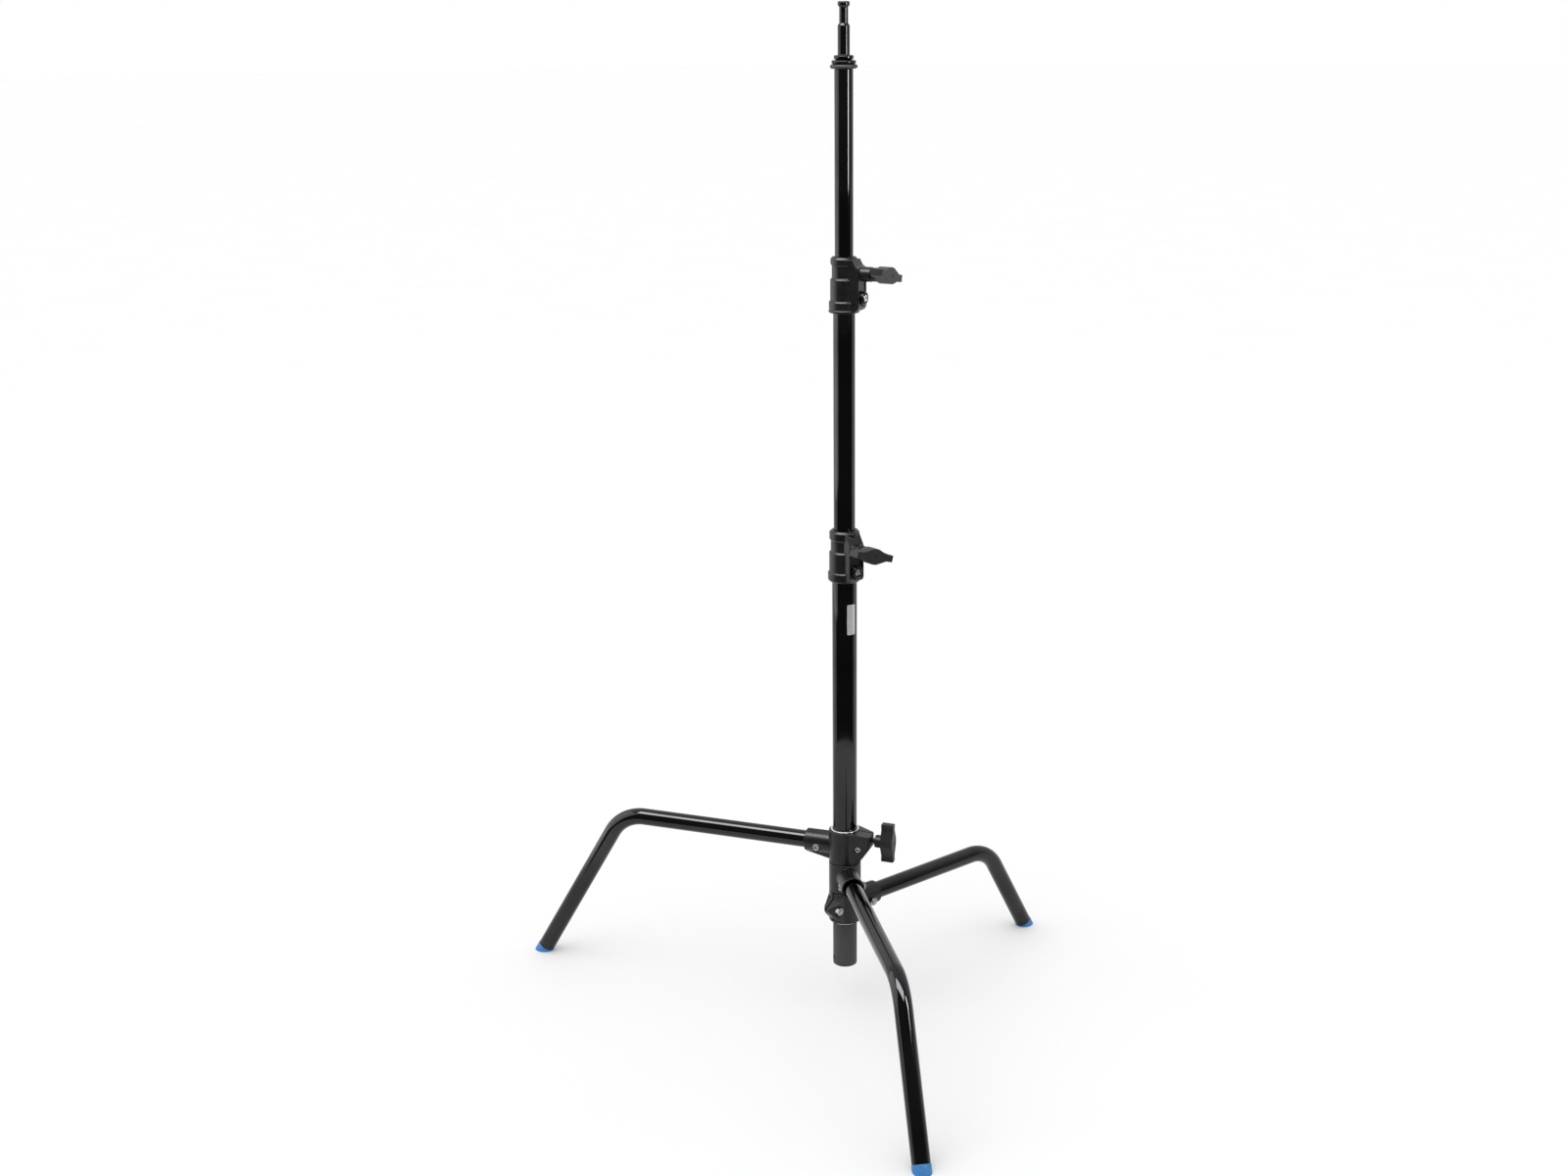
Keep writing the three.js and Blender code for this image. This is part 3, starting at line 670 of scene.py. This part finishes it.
def lobe_shape(top, bottom, wide, lobe):
    """The clamping lobe behind the column: its side view and its plan, cut out of each other."""
    reach, half = LOBES[lobe][:2]
    if lobe == "flat":
        tip = [(0.5 - reach, half - 1), (4 - reach, half)]
        side = [
            (0, top),
            (-20, top),
            (-reach, top - 1),
            (-reach, 6),
            (-32, -12),
            (-HUB_R, bottom + 3),
            (0, bottom + 3),
        ]
    else:
        tip = [(-reach, 4.5), (12 - reach, half)]
        side = [
            (0, 15),
            (-18, 15),
            (-24, 11.5),
            (1.5 - reach, 1),
            (-reach, -2.5),
            (5 - reach, -9.5),
            (-19, -23),
            (0, -23),
        ]
    plan = [(0, -half), (9 - HUB_R, -half), (1.5 - reach, -4.5), (-reach, 0), *tip, (0, half)]
    ears = mesh_object("ears", [slab(side, half + 1)])
    combine(ears, "INTERSECT", [prism([(x, wide * y) for x, y in plan], bottom - 1, top + 1)])
    points = [vertex.co / MM for vertex in ears.data.vertices]
    faces = [list(face.vertices) for face in ears.data.polygons]
    bpy.data.objects.remove(ears)
    return points, faces


def hub_shapes(top, bottom, ridge, wide, lobe):
    """Round body, leg socket with its gable, web below it, clamping lobe, and bosses at the leg bolt."""
    body = turned([(0, bottom), (HUB_R, bottom), (HUB_R, top), (0, top)], 0.8)
    socket = moved(rod(SOCKET_R, 0, SOCKET_REACH), ALONG_X)
    web_end = SOCKET_REACH - 1
    web = slab([(0, 0), (web_end, 0), (web_end, -SOCKET_R), (HUB_R - 2, bottom), (0, bottom)], 5)
    boss_half = LEG_BOLT_SEAT + 2.4
    bosses = moved(rod(7, -boss_half, boss_half), ALONG_Y, shift(LEG_BOLT_REACH, 0, -LEG_BOLT_DROP))
    return [body, socket, roof(ridge), web, lobe_shape(top, bottom, wide, lobe), bosses]


def cross_bolt(facing, at, head_seat, nut_seat):
    """A hole along Y with a sink for the bolt's head on one side and for its nut on the other."""
    tools = [rod(BOLT_R + GAP, -40, 40), rod(HEAD_R + GAP, head_seat, 40), rod(7, -40, -nut_seat)]
    return [moved(tool, ALONG_Y, facing, at) for tool in tools]


def hub(name, body, place):
    top, bottom, ridge, wide, heads, lobe = HUBS[name]
    _, _, bolt_reach, bolt_rise, wide_seat, narrow_seat = LOBES[lobe]
    head_seat, nut_seat = (wide_seat, narrow_seat) if wide == heads else (narrow_seat, wide_seat)
    facing = spin(0 if heads > 0 else 180)
    at_leg = shift(LEG_BOLT_REACH, 0, -LEG_BOLT_DROP)
    at_lobe = shift(-bolt_reach, 0, bolt_rise)
    leg_nut_seat = LEG_BOLT_SEAT + NUT_SINK
    cuts = [
        rod(HUB_BORE_R, -40, 40),
        moved(rod(LEG_R + GAP, LEG_START - GAP, SOCKET_REACH + 5), ALONG_X),
        moved(rod(15.1, SOCKET_REACH - 5, SOCKET_REACH + 5), ALONG_X),
        box((-60, -SLIT / 2, -40), (-10, SLIT / 2, 40)),
        *cross_bolt(facing, at_leg, LEG_BOLT_SEAT, leg_nut_seat),
        *cross_bolt(facing, at_lobe, head_seat, nut_seat),
    ]
    if lobe == "flat":
        holes = [rod(SCREW_R + GAP, -60, -10), rod(PAD_R + GAP, -COLUMN_R - PAD_TRAVEL, -10)]
        cuts += [moved(hole, ALONG_X, shift(z=KNOB_HEIGHT - LEGS["top"][1])) for hole in holes]
    cast(f"{name}_hub", hub_shapes(top, bottom, ridge, wide, lobe), cuts, CASTING, body, place)
    bolts = (
        ("leg", at_leg, LEG_BOLT_SEAT, leg_nut_seat, LEG_BOLT_SEAT + 9.5),
        ("clamp", at_lobe, head_seat, nut_seat, nut_seat + 6.5),
    )
    for part, at, seat, under_nut, tip in bolts:
        there = place @ at @ facing
        socket_bolt(f"{name}_{part}_bolt", there, body, seat + GAP + HEAD_LENGTH, -tip)
        hex_nut(f"{name}_{part}_nut", there, body, under_nut)


def leg_line(height, knee, foot):
    """Stations (point, tangent) along a leg's centre line, and the lower leg's lean from upright."""
    steps = 28
    lean = math.atan2(foot - knee, height)
    turn = math.pi / 2 - lean
    setback = LEG_BEND_R * math.tan(turn / 2)
    down = Vector((math.sin(lean), 0, -math.cos(lean)))
    stations = [(Vector((LEG_START, 0, 0)), Vector((1, 0, 0)))]
    for step in range(steps + 1):
        angle = turn * step / steps
        x = knee - setback + LEG_BEND_R * math.sin(angle)
        z = LEG_BEND_R * (math.cos(angle) - 1)
        stations.append((Vector((x, 0, z)), Vector((math.cos(angle), 0, -math.sin(angle)))))
    end_height = CAP_THIN / math.cos(lean) + CAP_R * math.sin(lean)
    end = Vector((foot, 0, -height)) - down * (end_height / math.cos(lean))
    stations.append((end, down))
    return stations, lean


def swept_ring(point, tangent, radius):
    across = Vector((0, 1, 0))
    up = tangent.cross(across)
    turns = (2 * math.pi * i / SIDES for i in range(SIDES))
    return [point + (across * math.cos(a) + up * math.sin(a)) * radius for a in turns]


def leg_tube(name, body, place, stations):
    """A tube along the stations, with its outer edges taken off at both ends."""
    edge = 0.5
    first, last = stations[0], stations[-1]
    rings = [swept_ring(*first, LEG_R - edge)]
    rings += [swept_ring(point, way, LEG_R) for point, way in stations[:-1]]
    rings.append(swept_ring(last[0] - last[1] * edge, last[1], LEG_R))
    rings += [swept_ring(*last, LEG_R - edge), swept_ring(*last, LEG_R - WALL)]
    rings += [swept_ring(point, way, LEG_R - WALL) for point, way in reversed(stations[:-1])]
    plain(f"{name}_leg_tube", [skin(rings, closed=True)], CHROME, body, place)


def foot_cap(name, body, place, height, stations, lean):
    """A cap that plugs the tube and thickens to a wedge, flat on the floor, with a soft lower edge."""
    end = stations[-1][0]
    plug_r, plug_depth, length = 9.6, 18, 40
    outline = [
        (0, -plug_depth),
        (plug_r, -plug_depth),
        (plug_r, GAP),
        (CAP_R - 0.6, GAP),
        (CAP_R, GAP + 0.6),
        (CAP_R, length),
        (0, length),
    ]
    shape = moved(turned(outline), spin(180 - math.degrees(lean), "Y"), shift(end.x, 0, end.z))
    below = box((0, -50, -height - 100), (end.x + 200, 50, -height))
    plain(f"{name}_foot_cap", [shape], BLUE, body, place, [below], 1.6)


def leg(name, body):
    azimuth, height, knee, foot = LEGS[name]
    place = placed(azimuth, height)
    stations, lean = leg_line(height, knee, foot)
    hub(name, body, place)
    leg_tube(name, body, place, stations)
    foot_cap(name, body, place, height, stations, lean)


def base_post():
    bottom, top = bottom_of("base_post"), top_of("base_post")
    low = LEGS["low"][1] + HUBS["low"][1]
    bore = SPIGOT_R + GAP
    groove = COLUMN_R - 1.1
    outline = [
        (bore, bottom + 0.5),
        (bore + 0.5, bottom),
        (COLUMN_R - 0.9, bottom),
        (COLUMN_R, bottom + 0.9),
        (COLUMN_R, low - SNAP_RING_BOTTOM),
        (groove, low - SNAP_RING_BOTTOM),
        (groove, low - SNAP_RING_TOP),
        (COLUMN_R, low - SNAP_RING_TOP),
        (COLUMN_R, top),
        (bore, top),
    ]
    slot_cut = moved(box((10, -2.6, bottom + 7), (30, 2.6, bottom + 14.5)), spin(POST_SLOT_AZIMUTH))
    pad_hole = moved(rod(PAD_R + GAP, 5, 30), ALONG_X, shift(z=KNOB_HEIGHT))
    plain("base_post", [turned(outline)], POST, "base", placed(), [slot_cut, pad_hole], 0.25)
    post_rings(low, groove)


def post_rings(low, groove):
    """The rings and washers on the post, where low is the underside of the lowest hub."""
    ring_top = top_of("post_top_ring")
    top_ring = ring(COLUMN_R + 3, COLUMN_R + GAP, ring_top - 2, ring_top, 0.6)
    plain("post_top_ring", [top_ring], BRIGHT_STEEL, "base")
    washer = ring(COLUMN_R + 2, COLUMN_R + GAP, low - SNAP_RING_TOP, low - GAP, 0.35)
    plain("bottom_washer", [washer], BRIGHT_STEEL, "base")
    snap = ring(COLUMN_R + 1, groove + GAP, low - SNAP_RING_BOTTOM + GAP, low - SNAP_RING_TOP - GAP, 0.3)
    opening = box((-4, 0, low - 9), (4, 30, low + 3))
    plain("retaining_ring", [snap], BLACK_STEEL, "base", placed(), [opening])
    for node in ("upper_thrust_washer", "lower_thrust_washer"):
        top_face = top_of(node)
        disc = ring(HUB_R - 1, COLUMN_R + GAP, top_face - 1, top_face, 0.2)
        plain(node, [disc], BLACK_STEEL, "base")


def turtle_base():
    base_post()
    leg("top", "base")
    leg("middle", "middle_leg")
    leg("low", "low_leg")
    handle_set(
        "column",
        "column_knob_screw",
        "column_knob_handle",
        placed(0, KNOB_HEIGHT),
        COLUMN_KNOB_HALF,
        SPIGOT_R + GAP,
        COLUMN_KNOB_NECK,
        bar_angle=0.0,
    )


# ---------------------------------------------------------------- collars

def collar_outline(radii, levels, foot):
    """The turned body of a collar: foot, flange, lower body, upper body and top ring, from the bottom up."""
    flange, lower, upper, top_ring, mouth = radii
    bottom, flange_top, step, line, top = levels
    return [
        (0, bottom),
        *foot,
        (flange, flange_top - 2),
        (lower, flange_top),
        (lower, step - 2),
        (upper, step + 0.3),
        (upper, line - 1.2),
        (top_ring, line + 1.2),
        (top_ring, top - 3),
        (mouth, top),
        (0, top),
    ]


def clamp_block(drop, rise, boss):
    """The block beside the collar, with a ramp up to its top, and the boss of the handle's screw."""
    side = [
        (0, -drop),
        (BLOCK_REACH - 6, -drop),
        (BLOCK_REACH - 2, 2 - drop),
        (BLOCK_REACH, 6 - drop),
        (BLOCK_REACH, 6),
        (BLOCK_REACH - 1.5, 9),
        (22.5, rise - 8),
        (20, rise - 4),
        (18, rise),
        (0, rise),
    ]
    return [slab(side, BLOCK_HALF), moved(rod(10, 0, boss), ALONG_X)]


def collar(name):
    """A casting clamped on the outer tube by its bolt, with a hole to the inner tube for the brake pad."""
    collar_spec = COLLARS[name]
    body = collar_spec["body"]
    levels = collar_spec["levels"]
    bottom, step, top = levels[0], levels[2], levels[4]
    outer_r, inner_r = collar_spec["tubes"]
    handle_z, bolt_z = collar_spec["handle_height"], collar_spec["bolt_height"]
    channel_floor = collar_spec["bolt_face"] - CHANNEL_DEPTH
    place = placed(collar_spec["azimuth"])
    lift = shift(z=handle_z)
    pad_reach = inner_r + GAP + PAD_THICK + PAD_TRAVEL + 0.8  # deep enough for the hole's soft corners
    shapes = [turned(collar_outline(collar_spec["radii"], levels, collar_spec["foot"]))]
    block = clamp_block(handle_z - bottom - 3, top - handle_z - 3, collar_spec["boss"])
    shapes += [moved(shape, lift) for shape in block]
    cuts = [
        rod(outer_r + GAP, bottom - 5, step - 3),
        rod(inner_r + GAP, bottom - 5, top + 5),
        box((channel_floor, -CHANNEL_HALF, bolt_z), (60, CHANNEL_HALF, handle_z - 10.5)),
        moved(rod(CHANNEL_HALF, channel_floor, 60), ALONG_X, shift(z=bolt_z)),
        moved(rod(SCREW_R + GAP, 5, 60), ALONG_X, lift),
        moved(rod(PAD_R + GAP, 5, pad_reach), ALONG_X, lift),
    ]
    cast(f"{name}_collar", shapes, cuts, CASTING, body, place)
    collar_bolt(name, body, place @ shift(z=bolt_z), collar_spec["bolt_face"], outer_r - WALL + GAP)


def collar_bolt(prefix, body, place, face, tip):
    """A wide black bolt head on a washer, with a bright socket screw in its middle."""
    seat = face - CHANNEL_DEPTH + GAP
    washer = ring(COLLAR_WASHER_R, BOLT_R + GAP, seat, seat + 1.6, 0.5)
    plain(f"{prefix}_collar_washer", [moved(washer, ALONG_X)], BLACK_STEEL, body, place)
    outline = [
        (0, tip),
        (BOLT_R, tip),
        (BOLT_R, face - 4.7),
        (COLLAR_BOLT_R, face - 4.7),
        (COLLAR_BOLT_R, face - 1.8),
        (COLLAR_BOLT_R - 0.9, face - 0.5),
        (COLLAR_BOLT_R - 2.2, face),
        (5.3, face - 0.3),
        (4.9, face - 1.8),
        (0, face - 1.8),
    ]
    head = moved(turned(outline), ALONG_X)
    plain(f"{prefix}_collar_bolt", [head], BLACK_STEEL, body, place)
    socket = [(0, face - 1.7), (4.6, face - 1.7), (4.6, face - 0.7), (4.1, face - 0.2), (0, face - 0.2)]
    plain(
        f"{prefix}_collar_bolt_socket",
        [moved(turned(socket), ALONG_X)],
        BRIGHT_STEEL,
        body,
        place,
        [moved(rod(HEXAGON_R, face - 1.4, face + 1, 6), ALONG_X)],
        nodes=[],
    )


def collars():
    for name in COLLARS:
        collar(name)
    for name, collar_spec in COLLARS.items():
        handle_set(
            name,
            f"{name}_handle_screw",
            f"{name}_handle",
            placed(collar_spec["azimuth"], collar_spec["handle_height"]),
            COLLAR_HANDLE_HALF,
            collar_spec["tubes"][1] + GAP,
            collar_spec["boss"] + NECK_GAP,
            collar_spec["bar_angle"],
        )


# ---------------------------------------------------------------- column and risers

def pipe(node, outer_r, inner_r, body):
    plain(node, [ring(outer_r, inner_r, bottom_of(node), top_of(node), 0.5)], CHROME, body)


def column():
    pipe("base_column", COLUMN_R, COLUMN_BORE_R, "column")
    bottom, top = bottom_of("column_spigot"), top_of("column_spigot")
    step = top_of("base_post")
    spigot = [
        (SPIGOT_R - 3, bottom),
        (SPIGOT_R - 1.5, bottom),
        (SPIGOT_R, bottom + 1.5),
        (SPIGOT_R, step),
        (COLUMN_R - WALL - GAP, step + GAP),
        (COLUMN_R - WALL - GAP, top),
        (SPIGOT_R - 3, top),
    ]
    plain("column_spigot", [turned(spigot)], BLACK_STEEL, "column")
    domed_rivet("spigot_rivet", "column", 2.5, 4.2, COLUMN_R + 1.5)
    column_label()


def rivet(node, body, outline):
    """A rivet along +Y, from its outline."""
    shape = moved(turned(outline, 0, SMALL_SIDES), ALONG_Y)
    plain(node, [shape], BLACK_STEEL, body, placed(0, middle(node).z))


def domed_rivet(node, body, shank, head, face):
    """A pop rivet with a low domed head and a small hollow in its middle."""
    inner_end = face + 0.2 - RIVET_LENGTH
    rivet(node, body, [
        (0, inner_end),
        (shank, inner_end),
        (shank, face - 1.1),
        (head, face - 1.1),
        (head * 0.93, face - 0.6),
        (head * 0.7, face - 0.15),
        (head * 0.42, face),
        (head * 0.36, face - 0.3),
        (0, face - 0.5),
    ])


def flush_rivet(node, body, radius, face):
    """A rivet that ends level with the tube, with a small hollow in its middle."""
    inner_end = face - RIVET_LENGTH
    rivet(node, body, [
        (0, inner_end),
        (radius, inner_end),
        (radius, face - 0.3),
        (radius - 0.3, face),
        (radius * 0.45, face),
        (radius * 0.35, face - 0.4),
        (0, face - 0.5),
    ])


def column_label():
    """A thin silver label wrapped on the column, with round corners."""
    bottom, top = bottom_of("column_label"), top_of("column_label")
    half_angle = 0.36
    inner, outer = COLUMN_R + 0.12, COLUMN_R + 0.42
    steps, corner = 24, 2.2
    rows = []
    half_width = half_angle * outer
    for i in range(steps + 1):
        along = -half_width + 2 * half_width * i / steps
        past_corner = max(0.0, abs(along) - (half_width - corner))
        inset = corner - math.sqrt(max(0.0, corner ** 2 - past_corner ** 2))
        angle = along / outer
        ray = Vector((math.cos(angle), math.sin(angle), 0))
        low, high = Vector((0, 0, bottom + inset)), Vector((0, 0, top - inset))
        rows.append([ray * inner + low, ray * outer + low, ray * outer + high, ray * inner + high])
    plain("column_label", [loft(rows)], LABEL, "column", placed(LABEL_AZIMUTH))


def bush(node, body, riser_r, run_r):
    """A plastic bush that plugs a riser's lower end and runs in the tube around it."""
    bottom, top = bottom_of(node), top_of(node)
    tube_end = bottom + 4
    plug = riser_r - WALL - GAP
    outline = [
        (plug - 3, bottom),
        (run_r - 0.6, bottom),
        (run_r, bottom + 0.6),
        (run_r, tube_end - GAP),
        (plug, tube_end - GAP),
        (plug, top),
        (plug - 3, top),
    ]
    plain(node, [turned(outline)], NYLON, body)


def risers():
    bush("riser_1_bush", "riser_1_runner", RISER_1_R, COLUMN_BORE_R - GAP)
    bush("riser_2_bush", "riser_2_runner", RISER_2_R, RISER_1_R - WALL - GAP)
    pipe("riser_1_tube", RISER_1_R, RISER_1_R - WALL, "riser_1")
    pipe("riser_2_tube", RISER_2_R, RISER_2_R - WALL, "riser_2")
    flush_rivet("pin_rivet", "riser_2", 2.0, RISER_2_R - 0.5)
    top_fittings()


def top_fittings():
    bore = RISER_2_R - WALL
    buffer_low, buffer_high = bottom_of("buffer_ring"), top_of("buffer_ring")
    half = (buffer_high - buffer_low) / 2
    centre = buffer_low + half
    turns = (math.radians(degrees) for degrees in range(-90, 91, 12))
    lip = [(BUFFER_R - half + half * math.cos(a), centre + half * math.sin(a)) for a in turns]
    buffer = turned([(bore, buffer_low), *lip, (bore, buffer_high)])
    plain("buffer_ring", [buffer], RUBBER, "riser_2")
    low, high = bottom_of("flange_ring"), top_of("flange_ring")
    flange = [
        (bore, low),
        (FLANGE_R - 1.8, low),
        (FLANGE_R, low + 1.3),
        (FLANGE_R, high - 1.2),
        (FLANGE_R - 1.1, high),
        (bore, high),
    ]
    plain("flange_ring", [turned(flange, 0.5)], BLACK_STEEL, "riser_2")
    baby_pin()


def baby_pin():
    """The pin with its foot above the flange ring and a groove below its head."""
    bottom, top = bottom_of("baby_pin"), top_of("baby_pin")
    stem_r = RISER_2_R - WALL - GAP
    foot_r, groove_r = 13.2, 5.9
    foot_low, foot_high = 1350.9, 1357.2
    groove_low, groove_high = 1397.0, 1417.0
    slope = 2.6  # height of the cone at each end of the groove
    outline = [
        (0, bottom),
        (stem_r, bottom),
        (stem_r, foot_low),
        (foot_r - 2.6, foot_low),
        (foot_r, foot_low + 1.7),
        (foot_r, foot_high - 1.4),
        (foot_r - 1.2, foot_high - 0.2),
        (PIN_R, foot_high),
        (PIN_R, groove_low - slope),
        (groove_r, groove_low),
        (groove_r, groove_high),
        (PIN_R, groove_high + slope),
        (PIN_R, top - 1.2),
        (PIN_R - 1.2, top),
        (0, top),
    ]
    plain("baby_pin", [turned(outline, 0.45)], CHROME, "riser_2")


turtle_base()
column()
collars()
risers()


# ---------------------------------------------------------------- studio

FRONT = -69.6  # azimuth about the column of the side that faces the camera


def floor():
    reach = 40000
    disc = mesh_object("floor", [rod(reach, -20, 0)])
    pale = material("floor_paint", (0.88, 0.88, 0.88), 0.0, 0.6, Specular_IOR_Level=0.1)
    vary_color(pale, noise(pale, 3, 4), (0.875, 0.875, 0.875), (0.885, 0.885, 0.885))
    disc.data.materials.append(pale)


def from_column(azimuth, distance, height):
    """A place in metres, from its azimuth about the column, its distance and its height."""
    way = Vector((math.cos(math.radians(azimuth)), math.sin(math.radians(azimuth)), 0))
    return Vector((COLUMN_X * MM, COLUMN_Y * MM, height)) + way * distance


def softbox(name, azimuth, distance, height, width, tall, brightness, aim_height):
    """A soft rectangular light in metres, aimed at the column, that is seen in shiny surfaces only."""
    light = bpy.data.lights.new(name, "AREA")
    light.shape = "RECTANGLE"
    light.size = width
    light.size_y = tall
    light.energy = brightness * math.pi * width * tall
    obj = bpy.data.objects.new(name, light)
    bpy.context.collection.objects.link(obj)
    obj.location = from_column(azimuth, distance, height)
    obj.rotation_euler = (from_column(0, 0, aim_height) - obj.location).to_track_quat("-Z", "Y").to_euler()
    obj.visible_camera = False
    obj.visible_diffuse = False


def soft_sun(azimuth, elevation, strength):
    """A wide, even light on matt surfaces, so that the floor is the same all over."""
    light = bpy.data.lights.new("soft_sun", "SUN")
    light.energy = strength
    light.angle = math.radians(60)
    obj = bpy.data.objects.new("soft_sun", light)
    bpy.context.collection.objects.link(obj)
    to_sun = from_column(azimuth, 1, math.tan(math.radians(elevation))) - from_column(0, 0, 0)
    obj.rotation_euler = to_sun.to_track_quat("Z", "Y").to_euler()
    obj.visible_glossy = False


def surroundings():
    """Pale to the eye and to matt surfaces. Shiny ones see a pale backdrop behind, a dark room in front."""
    world = bpy.data.worlds.new("studio")
    bpy.context.scene.world = world
    world.use_nodes = True
    nodes, links = world.node_tree.nodes, world.node_tree.links
    background = nodes["Background"]
    where = nodes.new("ShaderNodeTexCoord")
    to_front = nodes.new("ShaderNodeVectorMath")
    to_front.operation = "DOT_PRODUCT"
    to_front.inputs[1].default_value = from_column(FRONT, 1, 0) - from_column(FRONT, 0, 0)
    room = nodes.new("ShaderNodeMapRange")
    room.inputs["From Min"].default_value = -0.3
    room.inputs["From Max"].default_value = 0.3
    room.inputs["To Min"].default_value = 0.9
    room.inputs["To Max"].default_value = 0.14
    path = nodes.new("ShaderNodeLightPath")
    mix = nodes.new("ShaderNodeMix")
    mix.data_type = "RGBA"
    mix.inputs["A"].default_value = (1, 1, 1, 1)
    links.new(where.outputs["Generated"], to_front.inputs[0])
    links.new(to_front.outputs["Value"], room.inputs["Value"])
    links.new(room.outputs["Result"], mix.inputs["B"])
    links.new(path.outputs["Is Glossy Ray"], mix.inputs["Factor"])
    links.new(mix.outputs["Result"], background.inputs["Color"])
    background.inputs["Strength"].default_value = 1.0


def dark_reflection_sheet():
    """A black sheet just above the floor in front of the stand, seen in reflections only: a painted dark
    reflection, the shade of the room in front shown in shiny surfaces where the floor is lit.
    """
    near, far, half_angle, steps = 950, 39000, 84, 28
    bottom, thick = 2, 4
    upper = Vector((0, 0, thick))
    rows = []
    for i in range(steps + 1):
        angle = math.radians(FRONT - half_angle + 2 * half_angle * i / steps)
        way = Vector((math.cos(angle), math.sin(angle), 0))
        rows.append([way * near, way * far, way * far + upper, way * near + upper])
    shade_sheet = mesh_object("dark_reflection_sheet", [moved(loft(rows), shift(COLUMN_X, COLUMN_Y, bottom))])
    # Painted dark reflection: this colour shows only in shiny surfaces, in place of the lit floor.
    black = material("painted_dark_reflection", (0.07, 0.07, 0.07), 0.0, 0.9, Specular_IOR_Level=0.0)
    vary_color(black, noise(black, 30, 3), (0.06, 0.06, 0.06), (0.08, 0.08, 0.08))
    shade_sheet.data.materials.append(black)
    shade_sheet.visible_camera = False
    shade_sheet.visible_diffuse = False
    shade_sheet.visible_shadow = False


def camera():
    """The photograph's view. The place is in metres and the angles are in degrees."""
    place = (1.0095, -2.5751, 1.4350)
    turn, pitch, roll = 20.44, 16.174, 0.576
    data = bpy.data.cameras.new("camera")
    data.sensor_width = 36
    data.lens = 47.08
    obj = bpy.data.objects.new("camera", data)
    bpy.context.collection.objects.link(obj)
    aim = spin(turn) @ spin(90 - pitch, "X") @ spin(-roll)
    obj.matrix_world = Matrix.Translation(place) @ aim
    bpy.context.scene.camera = obj


floor()
surroundings()
dark_reflection_sheet()
soft_sun(-130, 60, 0.6)
# Azimuth and distance from the column, height, width, length, brightness, height of the aim
softbox("overhead", -100, 1.05, 2.9, 3.4, 1.3, 11, 0.4)
softbox("right_strip", -15, 2.2, 1.75, 0.32, 1.3, 26, 1.4)
softbox("left_panel", -165, 2.4, 1.2, 2.6, 2.4, 1.4, 0.8)
camera()
bpy.context.scene.view_settings.view_transform = "Standard"
